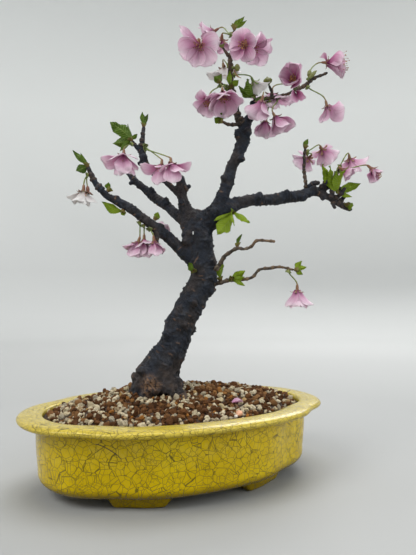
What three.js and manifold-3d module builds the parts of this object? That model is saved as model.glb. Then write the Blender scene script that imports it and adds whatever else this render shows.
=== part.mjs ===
// Cherry blossom bonsai, planted in a yellow glazed pot with four soft lobes.
// Millimetres, +Z up. The pot's long side lies along X, and its four feet stand on Z = 0.
import * as THREE from 'three';
import Module from 'manifold-3d';

const wasm = await Module();
wasm.setup();

// ---------------------------------------------------------------- driving dimensions

const GAP = 0.3;               // clearance between pieces that touch

const RIM_LENGTH = 255;        // over the lip, along X
const RIM_WIDTH = 180;         // over the lip, along Y
const POT_HEIGHT = 59.4;       // feet to the top of the lip
const FOOT_HEIGHT = 8.2;
const LIP_THICKNESS = 4.5;
const LIP_REACH = 14;          // how far the lip stands out past the wall
const WALL_THICKNESS = 5;
const FLOOR_THICKNESS = 6;
const CORNER_RADIUS = 12;      // where the wall turns under
const WALL_TAPER = 2;          // the foot of the wall stands in by this much
const CORNER_EASE = 0.3;       // of the corner's radius, where its bevel breaks
const LIP_EDGE = 1;            // bevel of the lip's outer edge
const LIP_ROUND = 2;           // roll of the lip's upper edge
const LIP_FALL = 0.6;          // the lip's top slopes down this much to its inner edge
const INNER_EDGE = 3;          // roll of the lip into the pot
const PLAN_POWER = 2.1;        // superellipse exponent of the plan
const RIM_CREASE = { angle: 42, depth: 0.035, width: 9 };
const WALL_CREASE = { angle: 50, depth: 0.045, width: 13 };
const POT_SEGMENTS = 56;

const FOOT_START = 42;         // a foot runs between these two plan angles
const FOOT_END = 76;
const FOOT_DEPTH = 11;         // across the foot
const FOOT_TUCK = 0.5;         // of the corner's radius, in from the wall
const FOOT_BITE = 0.4;         // of the corner's radius, up into the body
const FOOT_SLOPE = 6;          // how steeply the ends come down
const FOOT_STEPS = 8;

const DRAIN_HOLE_RADIUS = 9;
const DRAIN_HOLE_OFFSET = 55;  // from the pot's middle, along X
const SCREEN_RADIUS = 14;
const SCREEN_THICKNESS = 0.8;
const SCREEN_CELL = 3.4;       // square openings in the screen
const SCREEN_PITCH = 4.6;

const SOIL_EDGE_DROP = 2;      // below the top of the lip
const SOIL_RISE = 9;           // from the edge to the foot of the trunk
const SOIL_PEAK = [-8, 9];     // where the mound is highest
const SOIL_SEGMENTS = 40;
const SOIL_TERRACES = [0.97, 0.8, 0.6, 0.4, 0.2]; // rings of the mound, from the wall inward

const TREE_TURN = -25.4;       // the tree's display side is turned this far from the pot's
const TRUNK_SIDES = 14;
const LIMB_SIDES = 9;
const TWIG_SIDES = 6;
const TWIG_LIMIT = 3;          // a limb whose root is thinner than this is a twig
const LIMB_START_CAP = 0.4;    // bulge of a limb's two ends, against its radius
const LIMB_END_CAP = 0.8;

const PETAL_RING = 10;         // two points for each of the five petals
const PETAL_NOTCH = 0.76;      // how far the gap between two petals reaches, against a petal's length
const PETAL_THICKNESS = 1.1;
const PETAL_WAIST = 0.4;       // where a petal bends, along its length
const PETAL_OUTER_BELLY = 0.55; // how wide the flower is at that bend, against its mouth
const PETAL_INNER_BELLY = 0.5;
const STAMEN_REACH = 0.6;      // of a petal's length
const PEDICEL_RADIUS = 0.75;
const PEDICEL_SPRING = 0.35;   // how straight a stalk leaves both its ends, against its span
const PEDICEL_STATIONS = [0, 0.35, 0.7];
const CALYX_LENGTH = 6;
const CALYX_RADIUS = 2;
const CALYX_FOOT_RADIUS = 1.2;
const CALYX_SHOULDER = 1.5;    // the widest place, behind the heart
const TUFT_RADIUS = 1.6;
const TUFT_HEIGHT = 1.5;

const LEAF_THICKNESS = 0.9;
const LEAF_FOLD = 0.35;        // how far each half blade lifts, against its width
const LEAF_STEM_RADIUS = 0.9;
const LEAF_OUTLINE = [[0.3, 0.45], [0.6, 0.5], [0.85, 0.25]]; // place along the blade, half width
const BUD_RADIUS = 1.6;
const BUD_STAND = 1.5;         // the bud's middle, out from its seat
const BLADE_SETBACK = 0.02;    // a blade starts this far from the bud's middle to its tip

// ---------------------------------------------------------------- materials

const COLORS = {
  glaze: [0xc2a80f, 0.18],
  soil: [0x5a3a26, 0.95],
  bark: [0x2e2826, 0.9],
  pink: [0xcfa3bd, 0.6],
  white: [0xdcd8d4, 0.6],
  leaf: [0x6f8f24, 0.6],
  bud: [0x7a6a3a, 0.7],
  plastic: [0x222422, 0.6],
};

function material(key) {
  const [color, roughness] = COLORS[key];
  return new THREE.MeshStandardMaterial({ color, roughness, metalness: 0, side: THREE.DoubleSide });
}

// ---------------------------------------------------------------- general geometry

const radians = THREE.MathUtils.degToRad;
const lerp = THREE.MathUtils.lerp;
const UP = new THREE.Vector3(0, 0, 1);

// Display coordinates are across, depth and height, seen from the tree's own front.
function display([across, depth, height]) {
  return new THREE.Vector3(across, depth, height).applyAxisAngle(UP, radians(TREE_TURN));
}

// A direction given as right, towards the viewer and up.
function facing([right, forward, up]) {
  return display([right, -forward, up]).normalize();
}

// Closes a run of equal rings with a pole at each end. Rings turn anticlockwise about the way they advance.
// A thin wall turns back at the ring numbered fold: its inner strips are split along the same lines as its
// outer ones, so the two sides never meet.
function skin(rings, startPole, endPole, fold = rings.length) {
  const count = rings[0].length;
  const points = rings.flat();
  const start = points.push(startPole) - 1;
  const end = points.push(endPole) - 1;
  const last = (rings.length - 1) * count;
  const faces = [];
  for (let i = 0; i < count; i += 1) {
    const next = (i + 1) % count;
    faces.push(start, next, i);
    faces.push(end, last + i, last + next);
    for (let row = 0; row < last; row += count) {
      const [near, nearNext, far, farNext] = [row + i, row + next, row + count + i, row + count + next];
      if (row < fold * count) {
        faces.push(near, nearNext, farNext, near, farNext, far);
      } else {
        faces.push(near, nearNext, far, nearNext, farNext, far);
      }
    }
  }
  const geometry = new THREE.BufferGeometry().setFromPoints(points);
  geometry.setIndex(faces);
  return geometry;
}

function solid(geometry) {
  const vertProperties = new Float32Array(geometry.attributes.position.array);
  const triVerts = new Uint32Array(geometry.index.array);
  return new wasm.Manifold(new wasm.Mesh({ numProp: 3, vertProperties, triVerts }));
}

function geometryOf(body) {
  const mesh = body.getMesh();
  const geometry = new THREE.BufferGeometry();
  geometry.setAttribute('position', new THREE.BufferAttribute(new Float32Array(mesh.vertProperties), 3));
  geometry.setIndex(new THREE.BufferAttribute(new Uint32Array(mesh.triVerts), 1));
  return geometry;
}

// Merges the doubled seam and cap vertices of a three.js geometry, and drops the faces that this flattens.
function welded(geometry) {
  const source = (geometry.index ? geometry.toNonIndexed() : geometry).attributes.position;
  const found = new Map();
  const points = [];
  const corners = [];
  for (let i = 0; i < source.count; i += 1) {
    const point = new THREE.Vector3().fromBufferAttribute(source, i);
    const key = point.toArray().map((value) => Math.round(value * 1e4)).join();
    if (!found.has(key)) {
      found.set(key, points.push(point) - 1);
    }
    corners.push(found.get(key));
  }
  const index = [];
  for (let i = 0; i < corners.length; i += 3) {
    const face = corners.slice(i, i + 3);
    if (new Set(face).size === 3) {
      index.push(...face);
    }
  }
  const merged = new THREE.BufferGeometry().setFromPoints(points);
  merged.setIndex(index);
  return merged;
}

function join(bodies) {
  return bodies.reduce((sum, body) => sum.add(body));
}

// Carries a normal along a spine without twist, and returns one frame for each tangent.
function frames(tangents) {
  const first = tangents[0];
  let normal = Math.abs(first.z) < 0.8 ? UP : new THREE.Vector3(1, 0, 0);
  return tangents.map((tangent) => {
    normal = normal.clone().addScaledVector(tangent, -normal.dot(tangent)).normalize();
    return { normal, binormal: new THREE.Vector3().crossVectors(tangent, normal) };
  });
}

function ring(center, frame, count, radiusAt) {
  return Array.from({ length: count }, (_, i) => {
    const angle = (i / count) * 2 * Math.PI;
    const radius = radiusAt(i);
    return center.clone()
      .addScaledVector(frame.normal, radius * Math.cos(angle))
      .addScaledVector(frame.binormal, radius * Math.sin(angle));
  });
}

// ---------------------------------------------------------------- pot

// Plan of the pot at one level: a superellipse drawn in at four creases.
function planPoint(degrees, halfLength, halfWidth, crease) {
  const fromLongAxis = Math.abs(((degrees + 90) % 180) - 90);
  const spread = (fromLongAxis - crease.angle) / crease.width;
  const scale = 1 - crease.depth * Math.exp(-spread * spread);
  const c = Math.cos(radians(degrees));
  const s = Math.sin(radians(degrees));
  const x = halfLength * scale * Math.sign(c) * Math.abs(c) ** (2 / PLAN_POWER);
  const y = halfWidth * scale * Math.sign(s) * Math.abs(s) ** (2 / PLAN_POWER);
  return [x, y];
}

function planRing(inset, z, crease, segments = POT_SEGMENTS) {
  return Array.from({ length: segments }, (_, i) => {
    const [x, y] = planPoint((i / segments) * 360, RIM_LENGTH / 2 - inset, RIM_WIDTH / 2 - inset, crease);
    return new THREE.Vector3(x, y, z);
  });
}

const WALL_INSET = LIP_REACH;
const INNER_INSET = WALL_INSET + WALL_THICKNESS;
const FLOOR_Z = FOOT_HEIGHT + FLOOR_THICKNESS;
const UNDER_LIP_Z = POT_HEIGHT - LIP_THICKNESS;

function potBody() {
  const foot = WALL_INSET + WALL_TAPER;
  const turn = CORNER_RADIUS;
  const throat = LIP_REACH / 3;
  const rings = [
    planRing(foot + turn, FOOT_HEIGHT, WALL_CREASE),
    planRing(foot + turn * CORNER_EASE, FOOT_HEIGHT + turn * CORNER_EASE, WALL_CREASE),
    planRing(foot, FOOT_HEIGHT + turn, WALL_CREASE),
    planRing(WALL_INSET, UNDER_LIP_Z - throat, WALL_CREASE),
    planRing(WALL_INSET - throat, UNDER_LIP_Z - LIP_EDGE, RIM_CREASE),
    planRing(LIP_EDGE, UNDER_LIP_Z + LIP_EDGE, RIM_CREASE),
    planRing(0, UNDER_LIP_Z + LIP_THICKNESS / 2, RIM_CREASE),
    planRing(LIP_ROUND, POT_HEIGHT, RIM_CREASE),
    planRing(INNER_INSET - INNER_EDGE, POT_HEIGHT - LIP_FALL, RIM_CREASE),
    planRing(INNER_INSET, POT_HEIGHT - INNER_EDGE, WALL_CREASE),
    planRing(INNER_INSET + WALL_TAPER, FLOOR_Z + turn, WALL_CREASE),
    planRing(INNER_INSET + WALL_TAPER + turn, FLOOR_Z, WALL_CREASE),
  ];
  return solid(skin(rings, new THREE.Vector3(0, 0, FOOT_HEIGHT), new THREE.Vector3(0, 0, FLOOR_Z)));
}

// One bracket foot that follows the wall, with both ends sloping up to the pot.
function potFoot(startAngle, endAngle) {
  const outer = WALL_INSET + WALL_TAPER + CORNER_RADIUS * FOOT_TUCK;
  const top = FOOT_HEIGHT + CORNER_RADIUS * FOOT_BITE;
  const rings = [];
  for (let i = 0; i <= FOOT_STEPS; i += 1) {
    const along = i / FOOT_STEPS;
    const angle = lerp(startAngle, endAngle, along);
    const fromEnd = Math.min(along, 1 - along);
    const bottom = FOOT_HEIGHT * Math.max(0, 1 - fromEnd * FOOT_SLOPE);
    const corner = (inset, z) => {
      const [x, y] = planPoint(angle, RIM_LENGTH / 2 - inset, RIM_WIDTH / 2 - inset, WALL_CREASE);
      return new THREE.Vector3(x, y, z);
    };
    const inner = outer + FOOT_DEPTH;
    rings.push([corner(outer, bottom), corner(inner, bottom), corner(inner, top), corner(outer, top)]);
  }
  const middle = (corners) => corners.reduce((sum, p) => sum.add(p), new THREE.Vector3()).divideScalar(4);
  return solid(skin(rings, middle(rings[0]), middle(rings[FOOT_STEPS])));
}

function drainHole(side) {
  const cutter = new THREE.CylinderGeometry(DRAIN_HOLE_RADIUS, DRAIN_HOLE_RADIUS, FLOOR_THICKNESS * 3, 16, 1);
  cutter.rotateX(Math.PI / 2);
  cutter.translate(side * DRAIN_HOLE_OFFSET, 0, FOOT_HEIGHT + FLOOR_THICKNESS / 2);
  return solid(welded(cutter));
}

function makePot() {
  const spans = [[FOOT_START, FOOT_END], [180 - FOOT_END, 180 - FOOT_START]];
  const feet = [...spans, ...spans.map(([a, b]) => [a + 180, b + 180])].map(([a, b]) => potFoot(a, b));
  const body = join([potBody(), ...feet]);
  return geometryOf(body.subtract(drainHole(1)).subtract(drainHole(-1)));
}

// A flat plastic screen over a drain hole.
function makeScreen(side) {
  const disc = new THREE.CylinderGeometry(SCREEN_RADIUS, SCREEN_RADIUS, SCREEN_THICKNESS, 20, 1);
  disc.rotateX(Math.PI / 2);
  const cells = [];
  for (const i of [-1, 0, 1]) {
    for (const j of [-1, 0, 1]) {
      const cell = new THREE.BoxGeometry(SCREEN_CELL, SCREEN_CELL, SCREEN_THICKNESS * 3);
      cell.translate(i * SCREEN_PITCH, j * SCREEN_PITCH, 0);
      cells.push(solid(welded(cell)));
    }
  }
  const plate = geometryOf(solid(welded(disc)).subtract(join(cells)));
  plate.translate(side * DRAIN_HOLE_OFFSET, 0, FLOOR_Z + GAP + SCREEN_THICKNESS / 2);
  return plate;
}

// ---------------------------------------------------------------- tree

// Each limb lists across, depth, height and radius, from its root outward.
const LIMBS = {
  trunk: [
    [-18, 7, 46, 12], [-18, 7, 60, 19], [-18, 7, 72, 20.3], [-17.5, 7, 82, 19.6], [-14, 7, 90, 17],
    [-9, 7, 98, 14.6], [-5, 8, 108, 13.2], [3, 9, 129, 12.3], [17, 10, 155, 12], [21, 10, 167, 12],
    [18, 10, 184, 12.8], [16, 10, 202, 13.6], [14, 10, 216, 11],
  ],
  root_knot: [[-22, -4, 72, 8], [-25, -12, 67, 7], [-27, -17, 58, 4]],
  root_right: [[-8, 0, 76, 9], [-2, -5, 68, 8], [4, -9, 58, 4]],
  root_left: [[-26, 8, 76, 9], [-36, 6, 66, 7], [-44, 5, 56, 4]],
  root_back: [[-14, 16, 74, 9], [-8, 26, 66, 7], [-4, 33, 57, 4]],

  left_branch: [
    [15, 8, 178, 6], [3, 6, 186, 5], [-7, 2, 197, 4.7], [-19, -3, 206, 4.5], [-31, -7, 215, 4.4],
    [-41, -11, 222, 4.1], [-57, -17, 230, 3.1], [-62, -19, 235, 2.8], [-67, -20, 241, 2.4],
    [-72, -22, 252, 1.6],
  ],
  left_drop_stub: [[-19, -3, 205, 3], [-18, -4, 198, 2.2], [-18, -4, 194, 1.6]],

  second_branch: [
    [9, 10, 211, 6], [-1, 14, 219, 4.8], [-13, 19, 230, 4.4], [-24, 24, 239, 4.3], [-34, 28, 248, 3.8],
    [-42, 32, 255, 3.2], [-49, 35, 263, 2],
  ],
  second_stub: [[-42, 32, 255, 2.6], [-46, 31, 252, 1.8]],

  center_branch: [[9, 10, 208, 8], [6, 8, 222, 6.2], [3, 6, 234, 5.2], [2, 5, 244, 4.9], [1, 4, 250, 4.4]],
  center_spur: [[3, 5, 240, 3.2], [9, 3, 243, 1.7]],
  center_arm: [
    [2, 6, 236, 3.8], [-4, 8, 241, 3.1], [-12, 10, 249, 3], [-26, 13, 260, 3.2], [-31, 14, 268, 4.2],
    [-33, 14, 278, 3.6], [-33, 14, 285, 2.4], [-32, 14, 298, 1.6],
  ],
  center_bud_spur: [[-33, 14, 277, 2.4], [-38, 12, 281, 1.9], [-41, 11, 285, 1.3]],

  up_branch: [
    [18, 10, 205, 10], [26, 10, 215, 9], [34, 12, 228, 6.8], [41, 13, 244, 5.9], [45, 14, 258, 5.9],
    [50, 14, 270, 5.7], [54, 14, 279, 5.7], [57, 14, 290, 5.8], [58, 14, 301, 5.6],
  ],
  crown_stem: [
    [58, 14, 299, 4.4], [53, 13, 305, 3.2], [50, 12, 314, 2.5], [48, 10, 324, 2.3], [46, 7, 336, 2.1],
    [45, 5, 348, 2], [45, 4, 358, 1.9],
  ],
  crown_left_arm: [[45, 4, 357, 1.6], [42, 3, 361, 1.4], [39, 2, 365, 1.1]],
  crown_right_arm: [[45, 4, 357, 1.8], [47, 5, 365, 1.6], [48, 7, 375, 1.4], [49, 9, 384, 1.2]],
  crown_spur: [[47, 8, 329, 1.8], [42, 6, 331, 1.5], [37, 4, 334, 1.1]],
  side_twig: [[57, 13, 301, 2.4], [49, 9, 299, 1.6], [43, 5, 298, 1.3], [39, 3, 299, 1.1]],
  right_stub: [[57, 14, 300, 5], [62, 16, 307, 4.5], [66, 19, 315, 3.8], [66, 21, 323, 2.6]],
  outer_stem: [
    [66, 20, 320, 2.6], [68, 22, 326, 2], [80, 26, 330, 1.8], [97, 32, 336, 1.7], [110, 36, 343, 1.7],
    [118, 38, 348, 1.9], [125, 40, 354, 1.6], [139, 42, 361, 1.3],
  ],
  outer_spur: [[84, 27, 331, 1.5], [84, 28, 337, 1.2], [82, 28, 342, 1]],

  right_branch: [
    [20, 10, 208, 10], [34, 12, 219, 8.6], [49, 14, 229, 6.8], [62, 16, 233, 5.8], [83, 20, 235, 5.5],
    [98, 24, 238, 5.4], [110, 27, 240, 5.3], [120, 29, 244, 5.2], [127, 30, 243, 4.4], [134, 31, 240, 3.6],
    [141, 32, 236, 2.9], [149, 33, 232, 2.3], [157, 34, 228, 1.4],
  ],
  right_twig: [
    [115, 28, 241, 2.6], [115, 29, 250, 2], [114, 31, 263, 1.7], [114, 32, 276, 1.6], [115, 33, 284, 1.4],
  ],
  right_spur: [[121, 29, 244, 3.6], [130, 30, 247, 2.8], [138, 28, 248, 2.2], [145, 27, 246, 1.6]],
  leaf_spur: [[140, 32, 237, 2.4], [146, 28, 241, 1.9], [149, 24, 245, 1.4]],
  blossom_spur: [[136, 29, 247, 1.8], [141, 30, 256, 1.5], [146, 31, 266, 1.2]],

  low_twig: [
    [22, 8, 168, 3], [31, 3, 171, 1.9], [40, -5, 182, 1.6], [49, -13, 187, 1.5], [54, -17, 186, 1.3],
    [60, -20, 188, 1.2], [64, -23, 192, 1.1], [77, -30, 191, 1],
  ],
  lowest_twig: [
    [22, 9, 158, 3], [32, 7, 159, 1.9], [44, 4, 162, 1.6], [54, 1, 162, 1.4], [62, -1, 164, 1.3],
    [68, -3, 170, 1.2], [76, -5, 171, 1.2], [84, -6, 172, 1.1], [96, -8, 170, 1],
  ],
};

function limbSides(name) {
  if (name === 'trunk') {
    return TRUNK_SIDES;
  }
  return LIMBS[name][0][3] > TWIG_LIMIT ? LIMB_SIDES : TWIG_SIDES;
}

function spineOf(points) {
  return new THREE.CatmullRomCurve3(points.map(display), false, 'centripetal');
}

// A tapering limb with rounded ends; grow widens it, for the socket that it leaves in the soil.
function limb(name, grow = 0) {
  const points = LIMBS[name];
  const spine = spineOf(points);
  const last = points.length - 1;
  const tangents = points.map((_, i) => spine.getTangent(i / last));
  const turned = frames(tangents);
  const sides = limbSides(name);
  const rings = points.map((point, i) => ring(display(point), turned[i], sides, () => point[3] + grow));
  const startCap = points[0][3] * LIMB_START_CAP + grow;
  const endCap = points[last][3] * LIMB_END_CAP + grow;
  const startPole = display(points[0]).addScaledVector(tangents[0], -startCap);
  const endPole = display(points[last]).addScaledVector(tangents[last], endCap);
  return solid(skin(rings, startPole, endPole));
}

const BURIED = ['trunk', 'root_knot', 'root_right', 'root_left', 'root_back'];

function makeTree() {
  return geometryOf(join(Object.keys(LIMBS).map((name) => limb(name))));
}

// Where a stalk starts on a limb: just clear of the bark, on the side that looks at the target.
function seat(name, along, target) {
  const points = LIMBS[name];
  const spine = spineOf(points);
  const step = along * (points.length - 1);
  const index = Math.min(Math.floor(step), points.length - 2);
  const radius = lerp(points[index][3], points[index + 1][3], step - index);
  const center = spine.getPoint(along);
  const tangent = spine.getTangent(along);
  if (along === 1) {
    return { point: center.addScaledVector(tangent, radius * LIMB_END_CAP + GAP), leaves: tangent };
  }
  const toward = target.clone().sub(center);
  const leaves = toward.addScaledVector(tangent, -toward.dot(tangent)).normalize();
  return { point: center.addScaledVector(leaves, radius + GAP), leaves };
}

// ---------------------------------------------------------------- soil

function soilHeight(outward) {
  return POT_HEIGHT - SOIL_EDGE_DROP + SOIL_RISE * (1 - outward * outward);
}

function makeSoil() {
  const wallRing = (inset, z) => planRing(inset + GAP, z, WALL_CREASE, SOIL_SEGMENTS);
  const bottom = FLOOR_Z + SCREEN_THICKNESS + 2 * GAP;
  const edge = wallRing(INNER_INSET, POT_HEIGHT - INNER_EDGE);
  const rings = [
    wallRing(INNER_INSET + WALL_TAPER + CORNER_RADIUS, bottom),
    wallRing(INNER_INSET + WALL_TAPER + 1, FLOOR_Z + CORNER_RADIUS + 1),
    edge,
  ];
  for (const outward of SOIL_TERRACES) {
    rings.push(edge.map((p) => new THREE.Vector3(
      lerp(SOIL_PEAK[0], p.x, outward),
      lerp(SOIL_PEAK[1], p.y, outward),
      soilHeight(outward),
    )));
  }
  const peak = new THREE.Vector3(...SOIL_PEAK, soilHeight(0));
  const mound = solid(skin(rings, new THREE.Vector3(0, 0, bottom), peak));
  const socket = join(BURIED.map((name) => limb(name, GAP)));
  return geometryOf(mound.subtract(socket));
}

const FALLEN_PETAL = { angle: -63, outward: 0.7, length: 10, width: 7, turn: 20, curl: 0.8, bend: 1.2 };
const FALLEN_PETAL_STATIONS = [0.15, 0.5, 0.85];

// One petal lying on the soil, cupped a little.
function makeFallenPetal() {
  const { angle, outward, length, width, turn, curl, bend } = FALLEN_PETAL;
  const halfLength = RIM_LENGTH / 2 - INNER_INSET;
  const halfWidth = RIM_WIDTH / 2 - INNER_INSET;
  const [edgeX, edgeY] = planPoint(angle, halfLength, halfWidth, WALL_CREASE);
  const base = soilHeight(outward) + GAP + PETAL_THICKNESS / 2;
  const rings = FALLEN_PETAL_STATIONS.map((along) => {
    const half = (width / 2) * Math.sin(Math.PI * along ** curl);
    const x = (along - 0.5) * length;
    const lift = bend * (2 * along - 1) ** 2;
    return [
      new THREE.Vector3(x, -half, lift + curl),
      new THREE.Vector3(x, 0, lift - PETAL_THICKNESS / 2),
      new THREE.Vector3(x, half, lift + curl),
      new THREE.Vector3(x, 0, lift + PETAL_THICKNESS / 2),
    ];
  });
  const end = (side) => new THREE.Vector3((side * length) / 2, 0, bend + PETAL_THICKNESS / 2);
  const petal = skin(rings, end(-1), end(1));
  petal.rotateZ(radians(turn));
  petal.translate(lerp(SOIL_PEAK[0], edgeX, outward), lerp(SOIL_PEAK[1], edgeY, outward), base);
  return petal;
}

// ---------------------------------------------------------------- blossoms

// Each blossom: its heart (across, depth, height), the way it faces (right, forward, up), the length of a
// petal, the angle the petals open to from the axis, and the limb that carries it with the place along it.
const BLOSSOMS = [
  ['crown_left', [19, -6, 363], [-0.15, 0.97, -0.18], 19, 78, 'crown_left_arm', 1],
  ['crown_arched', [31, 28, 394], [-0.8, -0.1, -0.5], 15, 52, 'crown_right_arm', 0.93],
  ['crown_turned', [38, 10, 376], [0.0, -0.8, -0.6], 11, 55, 'crown_right_arm', 0.8],
  ['crown_middle', [57, -4, 364], [-0.3, 0.9, -0.2], 14, 75, 'crown_right_arm', 0.5],
  ['crown_right', [67, 10, 370], [0.85, 0.2, -0.4], 16, 58, 'crown_right_arm', 0.65],
  ['crown_white', [40, 26, 359], [-0.8, 0.2, -0.5], 15, 58, 'crown_stem', 0.9],
  ['nodding_left', [24, -2, 316], [-0.4, 0.35, -0.85], 14, 48, 'crown_spur', 0.97],
  ['nodding_open', [38, -10, 319], [0.1, 0.7, -0.7], 18, 56, 'crown_spur', 0.6],
  ['under_crown_near', [72, 2, 317], [-0.15, 0.25, -0.95], 15, 42, 'outer_stem', 0.2],
  ['under_crown_far', [80, 34, 314], [-0.3, -0.2, -0.93], 14, 38, 'outer_stem', 0.3],
  ['under_crown_right', [86, 18, 309], [0.5, 0.05, -0.86], 17, 46, 'outer_stem', 0.36],
  ['pale_behind', [87, 48, 344], [-0.35, 0.3, -0.88], 18, 72, 'outer_stem', 0.6],
  ['white_behind', [67, 20, 342], [0.45, -0.6, -0.65], 13, 48, 'crown_stem', 0.76],
  ['deep_cup', [102, 24, 351], [-0.45, 0.85, 0.1], 15, 48, 'outer_stem', 0.53],
  ['outer_side', [140, 44, 375], [0.93, 0.1, 0.15], 18, 55, 'outer_stem', 0.84],
  ['outer_hanging', [138, 40, 328], [0.45, 0.1, -0.88], 15, 40, 'outer_stem', 0.71],
  ['twig_back_left', [120, 41, 278], [-0.4, -0.8, -0.45], 15, 62, 'right_twig', 0.93],
  ['twig_back_right', [133, 40, 286], [0.5, -0.85, 0.2], 16, 60, 'right_twig', 0.97],
  ['end_back', [158, 38, 276], [0.3, -0.75, -0.45], 16, 58, 'blossom_spur', 1],
  ['end_nodding', [149, 27, 263], [0.75, 0.2, -0.62], 11, 38, 'blossom_spur', 0.7],
  ['end_closing', [173, 30, 270], [0.25, 0.1, -0.95], 12, 26, 'blossom_spur', 0.9],
  ['lowest_hanging', [99, -8, 152], [0.0, 0.15, -0.99], 17, 42, 'lowest_twig', 0.96],
  ['white_hanging', [-76, -22, 233], [-0.1, 0.2, -0.97], 17, 58, 'left_branch', 0.96],
  ['middle_large', [-51, 8, 271], [-0.1, 0.6, -0.8], 21, 62, 'center_bud_spur', 0.9],
  ['middle_front', [-15, -8, 258], [-0.35, 0.5, -0.8], 16, 54, 'center_arm', 0.78],
  ['middle_right', [-4, -20, 257], [0.35, 0.35, -0.87], 16, 54, 'center_arm', 0.72],
  ['left_under_1', [-37, -9, 193], [-0.6, 0.3, -0.75], 12, 42, 'left_branch', 0.43],
  ['left_under_2', [-30, 5, 196], [0.0, -0.35, -0.94], 13, 42, 'left_branch', 0.4],
  ['left_under_3', [-20, -14, 193], [0.5, 0.4, -0.77], 12, 42, 'left_branch', 0.36],
  ['left_behind', [-15, 17, 208], [0.2, -0.6, 0.75], 12, 58, 'left_branch', 0.3],
];

const WHITE = ['crown_white', 'white_behind', 'white_hanging'];

// Stalk, calyx, five joined petals and the tuft of stamens, as one closed surface.
function makeBlossom([, heart, faces, petal, opening, limbName, along]) {
  const hub = display(heart);
  const axis = facing(faces);
  const foot = hub.clone().addScaledVector(axis, -CALYX_LENGTH);
  const { point: start, leaves } = seat(limbName, along, foot);
  const reach = start.distanceTo(foot) * PEDICEL_SPRING;
  const stalk = new THREE.CubicBezierCurve3(
    start,
    start.clone().addScaledVector(leaves, reach),
    foot.clone().addScaledVector(axis, -reach),
    foot,
  );
  const stations = [];
  const add = (center, tangent, radiusAt) => stations.push({ center, tangent, radiusAt });
  for (const t of PEDICEL_STATIONS) {
    add(stalk.getPoint(t), stalk.getTangent(t), () => PEDICEL_RADIUS);
  }
  const onAxis = (distance) => hub.clone().addScaledVector(axis, distance);
  const out = Math.sin(radians(opening));
  const ahead = Math.cos(radians(opening));
  const lobed = (i) => petal * out * (i % 2 ? PETAL_NOTCH : 1);
  const waist = petal * ahead * PETAL_WAIST;
  add(foot, axis, () => CALYX_FOOT_RADIUS);
  add(onAxis(-CALYX_SHOULDER), axis, () => CALYX_RADIUS);
  add(onAxis(waist), axis, () => petal * out * PETAL_OUTER_BELLY);
  const fold = stations.length;
  add(onAxis(petal * ahead), axis, lobed);
  add(onAxis(waist + PETAL_THICKNESS), axis, () => petal * out * PETAL_INNER_BELLY);
  add(onAxis(TUFT_HEIGHT), axis, () => TUFT_RADIUS);
  const turned = frames(stations.map((station) => station.tangent));
  const rings = stations.map(({ center, radiusAt }, i) => ring(center, turned[i], PETAL_RING, radiusAt));
  return skin(rings, start, onAxis(petal * STAMEN_REACH), fold);
}

// ---------------------------------------------------------------- leaves and buds

// Each cluster: the limb and place that carry it, then its leaves as tip (across, depth, height) and width.
const LEAF_CLUSTERS = [
  ['top_leaf_bud', 'crown_right_arm', 1, [[[58, 9, 397], 4.5], [[51, 10, 395], 3]]],
  ['crown_spur_leaves', 'crown_spur', 1, [[[31, -1, 338], 6], [[37, 5, 343], 6]]],
  ['crown_stem_leaves', 'crown_stem', 0.62, [[[38, 0, 331], 4], [[44, -3, 342], 5], [[52, 0, 335], 5]]],
  ['crown_fork_leaves', 'outer_stem', 0.15, [[[60, 6, 339], 9], [[53, 9, 334], 6]]],
  ['side_twig_leaves', 'side_twig', 1, [[[31, 0, 302], 5], [[37, -3, 305], 7]]],
  ['right_twig_bud', 'right_twig', 1, [[[118, 33, 294], 5]]],
  ['branch_end_leaves', 'leaf_spur', 1, [[[138, 16, 268], 11], [[145, 8, 275], 8], [[166, 22, 244], 5]]],
  ['branch_end_low_leaf', 'right_branch', 0.94, [[[164, 27, 239], 6]]],
  ['fork_leaves', 'right_branch', 0.13, [[[33, -6, 200], 12], [[60, -8, 210], 6], [[46, -5, 221], 5]]],
  ['trunk_side_leaf', 'lowest_twig', 0.17, [[[39, 0, 175], 5]]],
  ['lowest_twig_leaves', 'lowest_twig', 0.27, [[[56, -4, 169], 6], [[56, -2, 157], 4]]],
  ['low_twig_bud', 'low_twig', 0.43, [[[53, -14, 199], 3.5]]],
  ['lowest_twig_end_leaves', 'lowest_twig', 1, [[[107, -8, 172], 4], [[103, -8, 177], 4]]],
  ['trunk_bud', 'trunk', 0.77, [[[9, -7, 176], 5]]],
  ['left_tip_leaves', 'left_branch', 1, [[[-85, -22, 267], 5], [[-78, -24, 264], 3], [[-81, -26, 249], 7]]],
  ['left_branch_bud', 'left_branch', 0.71, [[[-56, -20, 241], 4]]],
  ['left_branch_low_leaf', 'left_branch', 0.63, [[[-61, -20, 222], 7]]],
  ['left_branch_high_leaf', 'left_branch', 0.37, [[[-31, 0, 220], 5]]],
  ['middle_leaves', 'center_bud_spur', 1, [[[-60, 6, 301], 12], [[-59, 13, 284], 9], [[-46, 14, 302], 4]]],
  ['middle_twig_bud', 'center_arm', 1, [[[-33, 14, 313], 4.5]]],
  ['crown_flower_bud', 'crown_stem', 0.83, [[[53, 0, 346], 6], [[54, -2, 336], 2]]],
  ['outer_flower_bud', 'outer_spur', 1, [[[80, 27, 350], 8]]],
  ['outer_stem_bud', 'outer_stem', 0.78, [[[122, 37, 362], 4], [[128, 37, 361], 4]]],
];

const BUDS = ['crown_flower_bud', 'outer_flower_bud', 'outer_stem_bud'];

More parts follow.
